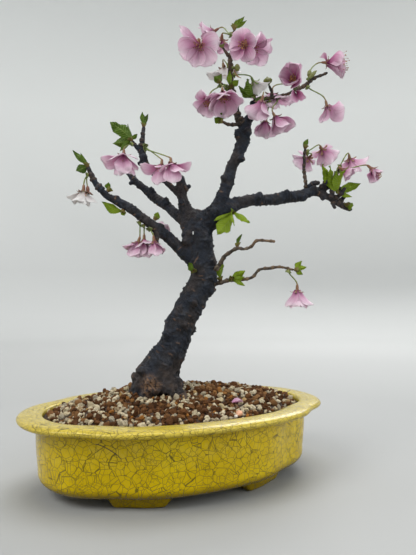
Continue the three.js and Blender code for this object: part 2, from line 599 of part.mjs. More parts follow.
// A folded blade from base to tip: thin at its edges, thickest on the midrib.
function leafBlade(base, tip, width) {
  const axis = tip.clone().sub(base);
  const across = new THREE.Vector3(axis.z, 0, -axis.x);
  if (across.lengthSq() < 1) {
    across.set(1, 0, 0);
  }
  across.normalize();
  const above = new THREE.Vector3().crossVectors(axis, across).normalize();
  const half = LEAF_THICKNESS / 2;
  const outline = [[0, LEAF_STEM_RADIUS], ...LEAF_OUTLINE.map(([t, part]) => [t, width * part])];
  const rings = outline.map(([t, side]) => {
    const center = base.clone().addScaledVector(axis, t);
    const fold = side * LEAF_FOLD;
    return [
      center.clone().addScaledVector(across, side).addScaledVector(above, fold),
      center.clone().addScaledVector(above, half),
      center.clone().addScaledVector(across, -side).addScaledVector(above, fold),
      center.clone().addScaledVector(above, -half),
    ];
  });
  const advance = new THREE.Vector3().crossVectors(across, above);
  if (advance.dot(axis) < 0) {
    rings.forEach((corners) => corners.reverse());
  }
  return solid(skin(rings, base, tip));
}

function makeLeafCluster([, limbName, along, leaves]) {
  const tips = leaves.map(([tip]) => display(tip));
  const aim = tips.reduce((sum, tip) => sum.add(tip), new THREE.Vector3()).divideScalar(tips.length);
  const { point, leaves: outward } = seat(limbName, along, aim);
  const bud = new THREE.IcosahedronGeometry(BUD_RADIUS, 0);
  const center = point.clone().addScaledVector(outward, BUD_STAND);
  bud.translate(center.x, center.y, center.z);
  const blades = tips.map((tip, i) => {
    const base = center.clone().lerp(tip, BLADE_SETBACK);
    return leafBlade(base, tip, leaves[i][1]);
  });
  return geometryOf(join([solid(welded(bud)), ...blades]));
}

// ---------------------------------------------------------------- assembly

const bonsai = new THREE.Group();

function place(name, geometry, key) {
  geometry.computeVertexNormals();
  const mesh = new THREE.Mesh(geometry, material(key));
  mesh.name = name;
  bonsai.add(mesh);
}

place('pot', makePot(), 'glaze');
place('drain_screen_left', makeScreen(-1), 'plastic');
place('drain_screen_right', makeScreen(1), 'plastic');
place('soil', makeSoil(), 'soil');
place('tree', makeTree(), 'bark');
place('fallen_petal', makeFallenPetal(), 'pink');
for (const blossom of BLOSSOMS) {
  place(`blossom_${blossom[0]}`, makeBlossom(blossom), WHITE.includes(blossom[0]) ? 'white' : 'pink');
}
for (const cluster of LEAF_CLUSTERS) {
  place(cluster[0], makeLeafCluster(cluster), BUDS.includes(cluster[0]) ? 'bud' : 'leaf');
}

// The origin is under the middle of the whole bonsai's box.
const middle = new THREE.Box3().setFromObject(bonsai).getCenter(new THREE.Vector3());
bonsai.position.set(-middle.x, -middle.y, 0);

export default bonsai;
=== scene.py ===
"""Cherry blossom bonsai in a yellow crackle-glazed pot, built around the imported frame.

Lengths are in millimetres until a mesh is made. Pot coordinates have their origin under the pot's middle, with
X along the pot's long side. Display coordinates are across, depth and height, seen from the tree's own front.
"""

import math

import bpy
import numpy as np
from mathutils import Matrix, Vector, kdtree


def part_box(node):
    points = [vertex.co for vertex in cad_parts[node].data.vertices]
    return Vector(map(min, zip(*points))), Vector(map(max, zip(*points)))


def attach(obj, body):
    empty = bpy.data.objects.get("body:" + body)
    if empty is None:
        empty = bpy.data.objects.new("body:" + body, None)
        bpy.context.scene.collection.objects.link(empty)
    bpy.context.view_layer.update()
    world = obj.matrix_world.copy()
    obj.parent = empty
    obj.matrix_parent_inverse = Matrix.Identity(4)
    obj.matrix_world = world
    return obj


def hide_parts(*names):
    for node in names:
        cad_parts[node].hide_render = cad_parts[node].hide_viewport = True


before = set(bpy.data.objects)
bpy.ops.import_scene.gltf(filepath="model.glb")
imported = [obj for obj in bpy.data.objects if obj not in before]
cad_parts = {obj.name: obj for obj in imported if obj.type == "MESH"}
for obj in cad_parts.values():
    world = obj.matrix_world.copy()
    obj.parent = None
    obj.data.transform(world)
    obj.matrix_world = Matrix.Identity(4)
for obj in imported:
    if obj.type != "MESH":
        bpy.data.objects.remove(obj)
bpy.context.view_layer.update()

POT_X = 500 * (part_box("pot")[0].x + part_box("pot")[1].x)
TREE_TURN = math.radians(25.4)

# ---------------------------------------------------------------- the object's own numbers

RIM_LENGTH = 255.0
RIM_WIDTH = 180.0
PLAN_POWER = 2.1
RIM_CREASE = (42.0, 0.035, 9.0)  # plan angle, depth and width of the four places drawn in
WALL_CREASE = (50.0, 0.045, 13.0)
WALL_INSET = 14.0
WALL_TAPER = 2.0
WALL_FROM, WALL_RISE = 20.2, 29.0
CORNER_RADIUS = 8.5
FLOOR_Z = 14.2
FOOT_HEIGHT = 8.2
FOOT_SPAN = (42.0, 76.0)
FOOT_INSET = 10.5
DRAIN_RADIUS = 9.0
DRAIN_OFFSET = 55.0
SOIL_INSET = 19.5
SOIL_PEAK = (-8.0, 9.0)
SOIL_EDGE = 57.4
SOIL_RISE = 9.0
BACK_RISE = 5.5
SOIL_ROOM = ([-125, -85], [125, 85])
GRAIN_SIZES = ((2.3, 1100), (1.65, 6200), (1.1, 7500))
FINE_GRAINS = 2600
LARGE_GRAIN = 1.75
PEBBLES = ((47.7, -45, 2.9, 0.0), (45.3, -48.6, 1.6, 0.45))  # across, depth, radius and tone
PETAL_LIFT = 1.2
TIP_RADIUS = 2.7
SLIT = (12.0, 10.0, 203.5)
BURL = (-22.5, -17, 76)
CALYX_LENGTH = 5.0
STALK_RADIUS = 0.62
STALK_SPRING = 0.35
# How wide a petal is, from its claw to its tip, and a leaf, from its base to its point.
PETAL_ROWS = (0, 0.1, 0.25, 0.42, 0.58, 0.72, 0.84, 0.92, 0.97, 1)
PETAL_HALF = (0.14, 0.25, 0.58, 0.9, 1, 0.96, 0.78, 0.56, 0.36, 0.2)
LEAF_ROWS = (0, 0.06, 0.2, 0.36, 0.52, 0.68, 0.82, 0.92, 1)
LEAF_HALF = (0.12, 0.2, 0.6, 0.93, 1, 0.8, 0.48, 0.22, 0.03)

PINK_STOPS = ((0.0, (0.26, 0.025, 0.12)), (0.14, (0.44, 0.11, 0.27)), (0.32, (0.63, 0.29, 0.47)),
              (0.6, (0.75, 0.52, 0.65)), (1.0, (0.90, 0.79, 0.85)))
WHITE_STOPS = ((0.0, (0.30, 0.24, 0.12)), (0.15, (0.60, 0.55, 0.50)), (0.4, (0.72, 0.69, 0.68)),
               (0.7, (0.78, 0.76, 0.75)), (1.0, (0.82, 0.81, 0.80)))

# How fine the meshes are.
POT_SEGMENTS = 240
MOUND_SEGMENTS, MOUND_ROWS = ((160, 44))
GRAIN_SHARE = 1.0
VOXEL = 0.00082
STALK_SIDES, TUBE_SIDES = ((12, 20))
STAMENS = 26
STALK_SCALES, LEAF_SCALES = ((7, 8))
BLADE_GRID = ((28, 9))
PETAL_GRID = (18, 11)
SMALL_GRID = (9, 5)

# The photograph's camera, in millimetres and degrees.
VIEW_EYE = (-183.74, -393.2, 141.5)
VIEW_YAW, VIEW_PITCH, VIEW_ROLL = 25.45, 3.04, -0.21
VIEW_LENS = 32.44

# Each light: place as right, towards the viewer and up, in metres; width; power; tint; share of its highlights.
SKY = 0.42
LIGHTS = (
    ("key", (-0.95, 0.85, 1.05), 0.9, 16, (1.0, 0.99, 0.97), 0.7),
    ("top", (0.1, 0.0, 1.7), 1.4, 21, (0.98, 0.99, 1.0), 0.35),
    ("fill", (1.3, 0.6, 0.5), 1.2, 9, (0.96, 0.98, 1.0), 0.7),
    ("back", (0.5, -1.3, 1.0), 1.2, 15, (1.0, 1.0, 1.0), 0.15),
)

# Each limb: points from its root outward, as across, depth, height and radius.
LIMBS = {
    "trunk": ((-18, 7, 46, 12), (-18, 7, 60, 19), (-18, 7, 72, 20.3), (-17.5, 7, 82, 19.6), (-14, 7, 90, 17),
        (-9, 7, 98, 14.6), (-5, 8, 108, 13.2), (3, 9, 129, 12.3), (17, 10, 155, 12), (21, 10, 167, 12),
        (18, 10, 184, 12.8), (16, 10, 202, 13.6), (14, 10, 216, 11)),
    "root_knot": ((-22, -4, 72, 8), (-25, -12, 67, 7), (-27, -17, 58, 4)),
    "root_right": ((-8, 0, 76, 9), (-2, -5, 68, 8), (4, -9, 58, 4)),
    "root_left": ((-26, 8, 76, 9), (-36, 6, 66, 7), (-44, 5, 56, 4)),
    "root_back": ((-14, 16, 74, 9), (-8, 26, 66, 7), (-4, 33, 57, 4)),
    "left_branch": ((15, 8, 178, 6), (3, 6, 186, 5), (-7, 2, 197, 4.7), (-19, -3, 206, 4.5), (-31, -7, 215, 4.4),
        (-41, -11, 222, 4.1), (-57, -17, 230, 3.1), (-62, -19, 235, 2.8), (-67, -20, 241, 2.4), (-72, -22, 252, 1.6)),
    "left_drop_stub": ((-19, -3, 205, 3), (-18, -4, 198, 2.2), (-18, -4, 194, 1.6)),
    "second_branch": ((9, 10, 211, 6), (-1, 14, 219, 4.8), (-13, 19, 230, 4.4), (-24, 24, 239, 4.3),
        (-34, 28, 248, 3.8), (-42, 32, 255, 3.2), (-49, 35, 263, 2)),
    "second_stub": ((-42, 32, 255, 2.6), (-46, 31, 252, 1.8)),
    "center_branch": ((9, 10, 208, 8), (6, 8, 222, 6.2), (3, 6, 234, 5.2), (2, 5, 244, 4.9), (1, 4, 250, 4.4)),
    "center_spur": ((3, 5, 240, 3.2), (9, 3, 243, 1.7)),
    "center_arm": ((2, 6, 236, 3.8), (-4, 8, 241, 3.1), (-12, 10, 249, 3), (-26, 13, 260, 3.2), (-31, 14, 268, 4.2),
        (-33, 14, 278, 3.6), (-33, 14, 285, 2.4), (-32, 14, 298, 1.6)),
    "center_bud_spur": ((-33, 14, 277, 2.4), (-38, 12, 281, 1.9), (-41, 11, 285, 1.3)),
    "up_branch": ((18, 10, 205, 10), (26, 10, 215, 9), (34, 12, 228, 6.8), (41, 13, 244, 5.9), (45, 14, 258, 5.9),
        (50, 14, 270, 5.7), (54, 14, 279, 5.7), (57, 14, 290, 5.8), (58, 14, 301, 5.6)),
    "crown_stem": ((58, 14, 299, 4.4), (53, 13, 305, 3.2), (50, 12, 314, 2.5), (48, 10, 324, 2.3), (46, 7, 336, 2.1),
        (45, 5, 348, 2), (45, 4, 358, 1.9)),
    "crown_left_arm": ((45, 4, 357, 1.6), (42, 3, 361, 1.4), (39, 2, 365, 1.1)),
    "crown_right_arm": ((45, 4, 357, 1.8), (47, 5, 365, 1.6), (48, 7, 375, 1.4), (49, 9, 384, 1.2)),
    "crown_spur": ((47, 8, 329, 1.8), (42, 6, 331, 1.5), (37, 4, 334, 1.1)),
    "side_twig": ((57, 13, 301, 2.4), (49, 9, 299, 1.6), (43, 5, 298, 1.3), (39, 3, 299, 1.1)),
    "right_stub": ((57, 14, 300, 5), (62, 16, 307, 4.5), (66, 19, 315, 3.8), (66, 21, 323, 2.6)),
    "outer_stem": ((66, 20, 320, 2.6), (68, 22, 326, 2), (80, 26, 330, 1.8), (97, 32, 336, 1.7), (110, 36, 343, 1.7),
        (118, 38, 348, 1.9), (125, 40, 354, 1.6), (139, 42, 361, 1.3)),
    "outer_spur": ((84, 27, 331, 1.5), (84, 28, 337, 1.2), (82, 28, 342, 1)),
    "right_branch": ((20, 10, 208, 10), (34, 12, 219, 8.6), (49, 14, 229, 6.8), (62, 16, 233, 5.8),
        (83, 20, 235, 5.5), (98, 24, 238, 5.4), (110, 27, 240, 5.3), (120, 29, 244, 5.2), (127, 30, 243, 4.4),
        (134, 31, 240, 3.6), (141, 32, 236, 2.9), (149, 33, 232, 2.3), (157, 34, 228, 1.4)),
    "right_twig": ((115, 28, 241, 2.6), (115, 29, 250, 2), (114, 31, 263, 1.7), (114, 32, 276, 1.6),
        (115, 33, 284, 1.4)),
    "right_spur": ((121, 29, 244, 3.6), (130, 30, 247, 2.8), (138, 28, 248, 2.2), (145, 27, 246, 1.6)),
    "leaf_spur": ((140, 32, 237, 2.4), (146, 28, 241, 1.9), (149, 24, 245, 1.4)),
    "blossom_spur": ((136, 29, 247, 1.8), (141, 30, 256, 1.5), (146, 31, 266, 1.2)),
    "low_twig": ((22, 8, 168, 3), (31, 3, 171, 1.9), (40, -5, 182, 1.6), (49, -13, 187, 1.5), (54, -17, 186, 1.3),
        (60, -20, 188, 1.2), (64, -23, 192, 1.1), (77, -30, 191, 1)),
    "lowest_twig": ((22, 9, 158, 3), (32, 7, 159, 1.9), (44, 4, 162, 1.6), (54, 1, 162, 1.4), (62, -1, 164, 1.3),
        (68, -3, 170, 1.2), (76, -5, 171, 1.2), (84, -6, 172, 1.1), (96, -8, 170, 1)),
}

# Short spurs on the right branch's end, in the same form.
SPURS = {
    "spur_a": ((128, 29, 246, 2.4), (131, 25, 250, 2), (133, 22, 252, 1.7)),
    "spur_b": ((138, 31, 238, 2.4), (138.5, 28, 242, 2), (137.5, 26, 245, 1.8)),
    "spur_c": ((140, 32, 236, 2.2), (140, 30, 232, 2), (141, 29, 229, 1.6)),
    "spur_d": ((146, 32, 235, 2), (149, 30, 238, 1.7), (150, 29, 239, 1.6)),
    "spur_e": ((118, 29, 248, 3.2), (122, 27, 251, 2.6), (125, 25, 251, 2.2)),
    "spur_g": ((146, 33, 234, 3), (151, 33.5, 230.5, 2.5), (156, 34, 228, 2.1)),
}
THICK = ("trunk", "root_knot", "root_right", "root_left", "root_back", "left_branch", "left_drop_stub",
         "second_branch", "second_stub", "center_branch", "center_spur", "center_arm", "center_bud_spur", "up_branch",
         "right_stub", "right_branch", "right_spur", "leaf_spur")
# How much thicker or thinner a limb is than its numbers say.
LIMB_SHARE = {"second_branch": 1.1, "left_branch": 1.04, "center_arm": 1.05}
TWIG_SHARE = {"right_twig": 0.82, "outer_stem": 0.84}
PALE_TWIGS = ("low_twig", "lowest_twig")

# Knots and cut scars on the thick limbs: across, depth, height and radius.
KNOTS = ((-23, -13, 78, 7.2), (-19, -15, 71, 6), (-28, -10, 86, 5.5), (-9.5, -4.5, 117, 4.2), (-31, -7, 76, 7.5),
         (-12, -13, 74, 6), (-5, -9, 70, 6.5), (-33.5, 2, 79, 7.5), (-33, 0, 71, 7.8), (-31, -5, 66, 7),
         (-2, -3, 77, 6), (-4.6, -2.5, 101, 4.5), (5, -2, 124, 4.4), (27, 4, 165, 6), (26, 6, 154, 4.6),
         (8, 2, 196, 5), (24, 1, 196, 5.2), (30, 4, 221, 5.2), (40, 8, 252, 4.3), (54, 9, 268, 4.3),
         (61, 10, 293, 4.6), (52, 11, 291, 4.4), (70, 12, 237, 4.2), (96, 19, 241, 3.6), (121, 26, 246, 4),
         (112, 23, 237, 3.6), (130, 28, 238, 3.4), (-14, -3, 208, 3), (-33, -9, 219, 3.4), (-50, -15, 229, 2.9),
         (-64, -20, 238, 2.3), (-12, 15, 233, 3.6), (-26, 22, 244, 3.8), (-38, 28, 249, 3.4), (3, 1, 229, 4),
         (-2, 5, 239, 3.4), (1, 2, 249, 4.2), (-31, 11, 271, 3.6), (-35, 14, 266, 3.2), (137, 27, 249, 2.2),
         (12, -2, 143, 4.4), (20, 22, 178, 5.5), (10, 20, 120, 5), (-6, 18, 96, 6), (60, 24, 232, 4))
# Where the trunk's base flares into the soil: plan angle and reach.
FLARES = ((200, 19), (235, 16), (265, 15), (300, 17), (335, 20), (10, 21), (60, 19), (105, 20), (150, 21))

# Each blossom: its heart, the way it faces (right, towards the viewer, up), the length of a petal, the angle it opens
# to from its axis, and the limb that carries it with the place along it. Then, one for each petal: angles about the
# axis (0 is right; 90 is up, or towards the viewer where it hangs), shares of length and width, degrees added to the
# opening and to its curl, cups, spins about the petal's own middle line, and tones. And for the whole: wide is half a
# petal's width as a share of its length, tone its depth of colour, tint that of its stalk, spring the bend of its
# stalk, ruffle and stamens shares, extra loose petals (place, way out, axis, length, opening), and calyx second ones.
BLOSSOMS = (
    ("crown_left", (19, -6, 363), (-0.15, 0.85, -0.42), 19, 78, "crown_left_arm", 1,
     dict(angles=(140, 196, 258, 308, 8), lengths=(1.2, 1, 0.98, 1, 0.88), wides=(0.4, 1.1, 1.05, 1, 1),
          opens=(0, 0, -6, -4, 0), tones=(0, 0, 0, 0.8, 0.7), tone=0.65, wide=0.5)),
    ("crown_arched", (31, 28, 394), (-0.8, -0.1, -0.5), 15, 52, "crown_right_arm", 0.93, dict(tone=0.2)),
    ("crown_turned", (38, 10, 376), (0, -0.8, -0.6), 11, 55, "crown_right_arm", 0.8, dict(tone=-0.4)),
    ("crown_middle", (57, -4, 364), (-0.25, 0.85, -0.3), 14, 75, "crown_right_arm", 0.5,
     dict(angles=(96, 170, 232, 296, 20), lengths=(0.95, 0.9, 1.05, 1.05, 0.8), wide=0.56, tone=-0.1)),
    ("crown_right", (64, 9, 368), (0.45, 0.68, -0.5), 16, 58, "crown_right_arm", 0.65,
     dict(angles=(18, 70, 140, 232, 306), lengths=(1.15, 1, 0.7, 0.95, 1.15), opens=(2, -4, 0, 0, 4),
          cups=(0.9, 0.9, 0.4, 0.3, 0.3), wide=0.54, tone=0.3)),
    ("crown_white", (40, 28, 359), (0.1, -0.1, -0.97), 15, 58, "crown_stem", 0.9,
     dict(white=True, angles=(186, 130, 356, 40, 270), lengths=(1.05, 1.1, 1.15, 1, 1), wides=(0.65, 0.9, 1, 1, 1),
          opens=(14, 2, 18, 4, 8), ruffle=2.4)),
    ("nodding_left", (26, -2, 317), (-0.22, 0.1, -0.97), 14, 48, "crown_spur", 0.97,
     dict(angles=(262, 200, 335, 60, 128), lengths=(1.12, 1, 1, 0.8, 0.8), wides=(1.2, 1, 1, 1, 1),
          opens=(-6, 16, 6, 44, 44), tone=0.25)),
    ("nodding_open", (38, -10, 319), (0.1, 0.16, -0.98), 18, 56, "crown_spur", 0.6,
     dict(angles=(62, 122, 205, 275, 352), lengths=(0.72, 0.78, 0.95, 1.1, 1.05), wides=(1.1, 1.1, 1.1, 1.2, 1.1),
          opens=(10, 10, 0, -10, 12), tone=-0.1)),
    ("under_crown_near", (72, 2, 317), (-0.2, -0.2, -0.95), 15, 42, "outer_stem", 0.2,
     dict(angles=(80, 160, 232, 300, 22), lengths=(1.2, 1.25, 1, 1, 0.95), wides=(1.3, 1.25, 1, 1, 1),
          opens=(-26, -4, 0, 0, -6), cups=(0.7, 0.5, 0.3, 0.3, 0.4), spins=(0, -42, 0, 0, 0),
          tones=(0, 0.4, 0, 0, -0.2), tone=0.2)),
    ("under_crown_far", (79, 34, 311), (-0.2, -0.1, -0.97), 14, 38, "outer_stem", 0.3,
     dict(angles=(118, 60, 190, 250, 320), lengths=(1.35, 1.3, 1.1, 1.1, 1.1), opens=(-20, -24, -10, 0, 0),
          cups=(0.4,) * 5, tone=0)),
    ("under_crown_right", (86, 18, 309), (0.42, 0.08, -0.9), 17, 46, "outer_stem", 0.36,
     dict(angles=(358, 56, 124, 205, 280), lengths=(1.2, 1.15, 1.15, 1.05, 1.1), opens=(8, -26, -28, -10, 0),
          cups=(0.4,) * 5, spins=(-20, 0, 0, 0, 0), tone=0)),
    ("pale_behind", (86, 40, 339.5), (-0.1, 0.1, -1), 18, 72, "outer_stem", 0.6,
     dict(angles=(350, 30, 54, 78, 102, 128, 158, 195, 235, 290),
          lengths=(1.15, 1.3, 1.35, 1.4, 1.35, 1.3, 1.2, 1.1, 0.95, 0.95),
          opens=(10, -4, -14, -22, -22, -14, 0, 10, 0, 0), curls=(-10, -20, -30, -40, -40, -30, -20, -10, 0, 0),
          ruffle=3, wide=0.34, tone=1, stamens=1.5)),
    ("white_behind", (67, 20, 342), (0.45, -0.6, -0.65), 13, 48, "crown_stem", 0.76,
     dict(white=True, lengths=(1.1, 1, 1.15, 1, 1.1), wides=(0.8, 1, 0.7, 1, 0.8), opens=(14, 6, 20, 8, 14), ruffle=3,
          tint=-0.6, spring=0.2)),
    ("deep_cup", (104.2, 24, 345.5), (-0.45, 0.85, 0.1), 15, 48, "outer_stem", 0.53,
     dict(angles=(100, 172, 244, 316, 28), lengths=(1.08, 1.02, 1.12, 1.1, 1.08), opens=(8, 4, 6, 4, 4),
          curls=(-34, -28, -28, -34, -34), cups=(0.5,) * 5, wide=0.7, tone=-1.15,
          extra=(((106.4, 25, 336.5), (0.93, 0.1, -0.35), (0.3, 0.5, -0.8), 13, 60),
          ((104.5, 25, 336), (-0.45, 0.4, -0.8), (0.9, 0.3, 0.3), 15, 84)))),
    ("outer_side", (140, 44, 372), (0.97, 0.15, -0.14), 18, 55, "outer_stem", 0.84,
     dict(angles=(20, 110, 196, 318, 268), lengths=(1.05, 1.15, 1.2, 0.95, 0.5), wides=(1.35, 1.1, 1.1, 1.2, 0.8),
          opens=(-28, -18, -20, -22, 96), cups=(0.5, 0.4, 0.4, 0.4, 0.3), tones=(0, 0.3, 0.8, 0.8, 0.3), ruffle=2,
          tone=-0.6, stamens=2.9)),
    ("outer_hanging", (138, 40, 328), (0.25, -0.1, -0.96), 15, 40, "outer_stem", 0.71,
     dict(angles=(25, 350, 320, 172, 205), lengths=(1, 0.9, 0.9, 1.2, 0.95), wides=(1.25, 1.15, 1, 0.85, 0.7),
          opens=(16, 18, 6, -8, -12), cups=(0.5, 0.4, 0.3, 0.3, 0.3), spins=(60, 55, 30, -35, 0), tone=0.2)),
    ("twig_back_left", (120, 41, 278), (-0.4, -0.8, -0.45), 15, 62, "right_twig", 0.93,
     dict(angles=(150, 205, 262, 330, 60), lengths=(1.05, 1.05, 1.1, 0.85, 0.8), wides=(1.1, 0.8, 1.1, 0.8, 1),
          wide=0.44, tone=0.7, ruffle=1.8)),
    ("twig_back_right", (133, 40, 286), (0.5, -0.62, -0.5), 16, 60, "right_twig", 0.97,
     dict(angles=(75, 145, 215, 290, 5), lengths=(1, 0.9, 1, 0.95, 1), wides=(1.3, 0.75, 0.7, 0.9, 1.1), wide=0.48,
          tone=0.4, ruffle=1.8)),
    ("end_back", (158, 38, 276), (0.25, -0.5, -0.65), 16, 58, "blossom_spur", 1,
     dict(angles=(20, 85, 160, 235, 300), lengths=(1.1, 1, 1.05, 1, 1.1), opens=(24, 0, 0, 0, 6), tone=0.4)),
    ("end_nodding", (149, 27, 263), (0.75, 0.2, -0.62), 11, 38, "blossom_spur", 0.7, dict(tone=-0.5)),
    ("end_closing", (174, 25, 263.5), (0.7, 0.1, -0.7), 12, 26, "blossom_spur", 0.9,
     dict(angles=(180, 150, 215, 0, 60), lengths=(1.15, 1, 1, 0.95, 0.9), wides=(1.1, 0.9, 0.9, 0.5, 0.5),
          opens=(19, 14, 14, -6, -8), cups=(0.4,) * 5, spins=(65, 60, 40, 0, 0), tone=-0.1, stamens=2.2, wide=0.55,
          spring=0.12)),
    ("lowest_hanging", (99, -8, 152), (0, 0, -1), 17, 42, "lowest_twig", 0.96,
     dict(angles=(90, 20, 160, 232, 305), wides=(1.1, 1, 1, 1, 1), opens=(-12, 6, 6, 0, 0),
          cups=(0.7, 0.4, 0.4, 0.3, 0.3), tone=0.4)),
    ("white_hanging", (-76, -22, 233), (-0.05, -0.05, -0.99), 17, 58, "left_branch", 0.96,
     dict(white=True, angles=(0, 60, 120, 190, 262), lengths=(0.85, 0.8, 0.8, 0.85, 0.8), opens=(-8, -16, -14, 6, 0),
          ruffle=1.8, wide=0.36, calyx=(((-72.5, -21, 233.4), (0.15, 0.1, -0.98)),))),
    ("middle_large", (-48.5, 8, 272), (0, 0.02, -1), 21, 62, "center_bud_spur", 0.9,
     dict(angles=(180, 125, 55, 88, 300), lengths=(0.98, 1.05, 1.08, 0.5, 0.9), wides=(1.1, 1.2, 1.2, 1.5, 1),
          opens=(22, -34, -36, 6, 0), cups=(0.4, 0.35, 0.35, 0.3, 0.3), spins=(18, 0, 0, 0, 0),
          tones=(0.4, 0, 0.2, 0.8, 0), wide=0.48, tone=-0.1)),
    ("middle_front", (-14, -8, 258), (-0.08, 0, -1), 16, 54, "center_arm", 0.78,
     dict(angles=(182, 118, 62, 345, 265), lengths=(1.12, 1.2, 0.6, 0.8, 0.85), wides=(1, 1.1, 1.1, 1, 1),
          opens=(28, -32, 14, 0, 0), cups=(0.3, 0.35, 0.2, 0.3, 0.3), spins=(15, 0, 0, 0, 0), wide=0.48, tone=0.1,
          spring=0.02)),
    ("middle_right", (-5, -20, 256), (0.08, 0, -1), 16, 54, "center_arm", 0.72,
     dict(angles=(0, 80, 36, 132, 265), lengths=(1.1, 1.2, 0.95, 0.65, 0.85), wides=(1, 1.1, 1, 1, 1),
          opens=(28, -32, 10, 10, 0), cups=(0.3, 0.35, 0.4, 0.2, 0.3), spins=(-18, 0, 0, 0, 0), wide=0.48, tone=-0.15,
          spring=0.02)),
    ("left_under_1", (-34, -5, 193), (-0.3, 0, -0.95), 12, 42, "left_branch", 0.43,
     dict(angles=(165, 100, 40, 230, 300), lengths=(1.15, 1.3, 1.15, 1, 1), opens=(14, -18, -10, 0, 0),
          cups=(0.3,) * 5, spins=(25, 0, 0, 0, 0), wide=0.55, ruffle=1.8, tone=0.1, spring=0.1)),
    ("left_under_2", (-29, -4, 195), (-0.02, 0, -1), 13, 42, "left_branch", 0.4,
     dict(angles=(88, 128, 50, 200, 330), lengths=(0.65, 1.3, 1.3, 1, 1), wides=(1.3, 1, 1, 1, 1),
          opens=(22, -20, -24, 0, 0), cups=(0.3,) * 5, wide=0.54, ruffle=1.8, tone=0, spring=0.1)),
    ("left_under_3", (-20, -9, 193), (0.1, 0.05, -0.97), 12, 42, "left_branch", 0.36,
     dict(angles=(80, 140, 15, 220, 300), lengths=(1.25, 1.15, 1, 1, 1), opens=(-20, -14, -4, 0, 0), cups=(0.3,) * 5,
          spins=(0, 0, -25, 0, 0), wide=0.55, ruffle=1.8, tone=0.1)),
    ("left_behind", (-17, 17, 205), (0.2, -0.6, 0.75), 12, 58, "left_branch", 0.3,
     dict(lengths=(0.65,) * 5, tone=0.6)),
)

# Each cluster: the limb and place that carry it, then its leaves as tip and width. Extra leaves don't turn its seat.
LEAF_CLUSTERS = (
    ("top_leaf_bud", "crown_right_arm", 1, (((58, 9, 397), 4.5), ((51, 10, 395), 3)),
     dict(extra=(((53, 8, 394), 3.4), ((60, 8, 393), 3.2)), scales=5.5, tone=0.6)),
    ("crown_spur_leaves", "crown_spur", 1, (((31, -1, 338), 6), ((37, 5, 343), 6))),
    ("crown_stem_leaves", "crown_stem", 0.62, (((38, 0, 331), 4), ((44, -3, 342), 5), ((52, 0, 335), 5)),
     dict(tone=0.7)),
    ("crown_fork_leaves", "outer_stem", 0.15, (((60, 6, 339), 9), ((53, 9, 334), 6)),
     dict(extra=(((69.5, 3, 320), 4.5), ((77, 3, 320.5), 4.5)), tone=0.3)),
    ("side_twig_leaves", "side_twig", 1, (((31, 0, 302), 5), ((37, -3, 305), 7))),
    ("right_twig_bud", "right_twig", 1, (((118, 33, 294), 5),)),
    ("branch_end_leaves", "leaf_spur", 0.5, (((127, 14, 265), 9), ((132.5, 12, 263), 9), ((139, 12, 258), 9),
     ((147, 9, 260), 6), ((163, 22, 249.5), 8), ((155.5, 25, 238), 4)),
     dict(tone=0.9)),
    ("branch_end_low_leaf", "right_branch", 0.94, (((157, 26, 230.5), 6.5),), dict(tone=0.7)),
    ("fork_leaves", "right_branch", 0.13, (((33, -6, 200), 12), ((60, -8, 210), 6), ((46, -5, 221), 5)),
     dict(extra=(((30, -9, 211), 3), ((47, -8, 207), 3)), tone=1)),
    ("trunk_side_leaf", "lowest_twig", 0.17, (((37.5, 0, 177), 6.5),), dict(tone=0.8)),
    ("lowest_twig_leaves", "lowest_twig", 0.27, (((56, -4, 169), 6), ((56, -2, 157), 4)),
     dict(extra=(((55.5, -3, 164), 5),), tone=0.9)),
    ("low_twig_bud", "low_twig", 0.43, (((53, -14, 199), 3.5),), dict(tone=0.2)),
    ("lowest_twig_end_leaves", "lowest_twig", 1, (((107, -8, 172), 4), ((103, -8, 177), 4)),
     dict(extra=(((104, -7, 166), 4.5),), tone=1)),
    ("trunk_bud", "trunk", 0.77, (((9, -7, 176), 5),)),
    ("left_tip_leaves", "left_branch", 1, (((-85, -22, 267), 5), ((-78, -24, 264), 3), ((-81, -26, 249), 7)),
     dict(extra=(((-71, -19, 252), 4),), tone=0.15)),
    ("left_branch_bud", "left_branch", 0.71, (((-56, -20, 241), 4),)),
    ("left_branch_low_leaf", "left_branch", 0.575, (((-61.5, -20, 225), 6.5),),
     dict(extra=(((-44, -13, 215), 4.5),), tone=0.85)),
    ("left_branch_high_leaf", "left_branch", 0.37, (((-17, -5, 219), 5.5),), dict(tone=0.8)),
    ("middle_leaves", "center_bud_spur", 1, (((-60, 6, 301), 12), ((-59, 13, 284), 9), ((-46, 14, 302), 4)),
     dict(extra=(((-51.5, 6, 275), 4), ((-37, 10, 291.5), 3.5)), tone=0.25)),
    ("middle_twig_bud", "center_arm", 1, (((-33, 14, 313), 4.5),), dict(extra=(((-28, 14, 311), 3.5),), tone=0.2)),
    ("crown_flower_bud", "crown_stem", 0.83, (((53, 0, 346), 6), ((54, -2, 336), 2))),
    ("outer_flower_bud", "outer_spur", 1, (((80, 27, 350), 8),)),
    ("outer_stem_bud", "outer_stem", 0.78, (((122, 37, 362), 4), ((128, 37, 361), 4))),
)
BUDS = ("crown_flower_bud", "outer_flower_bud", "outer_stem_bud")

# ---------------------------------------------------------------- frames and noise


def display(points):
    """Display coordinates to pot coordinates."""
    p = np.asarray(points, float)
    c, s = math.cos(TREE_TURN), math.sin(TREE_TURN)
    return np.stack([p[..., 0] * c + p[..., 1] * s, -p[..., 0] * s + p[..., 1] * c, p[..., 2]], -1)


def unit(v):
    v = np.asarray(v, float)
    return v / np.maximum(np.linalg.norm(v, axis=-1, keepdims=True), 1e-9)


def facing(direction):
    """A direction given as right, towards the viewer and up."""
    right, forward, up = direction
    return unit(display([right, -forward, up]))


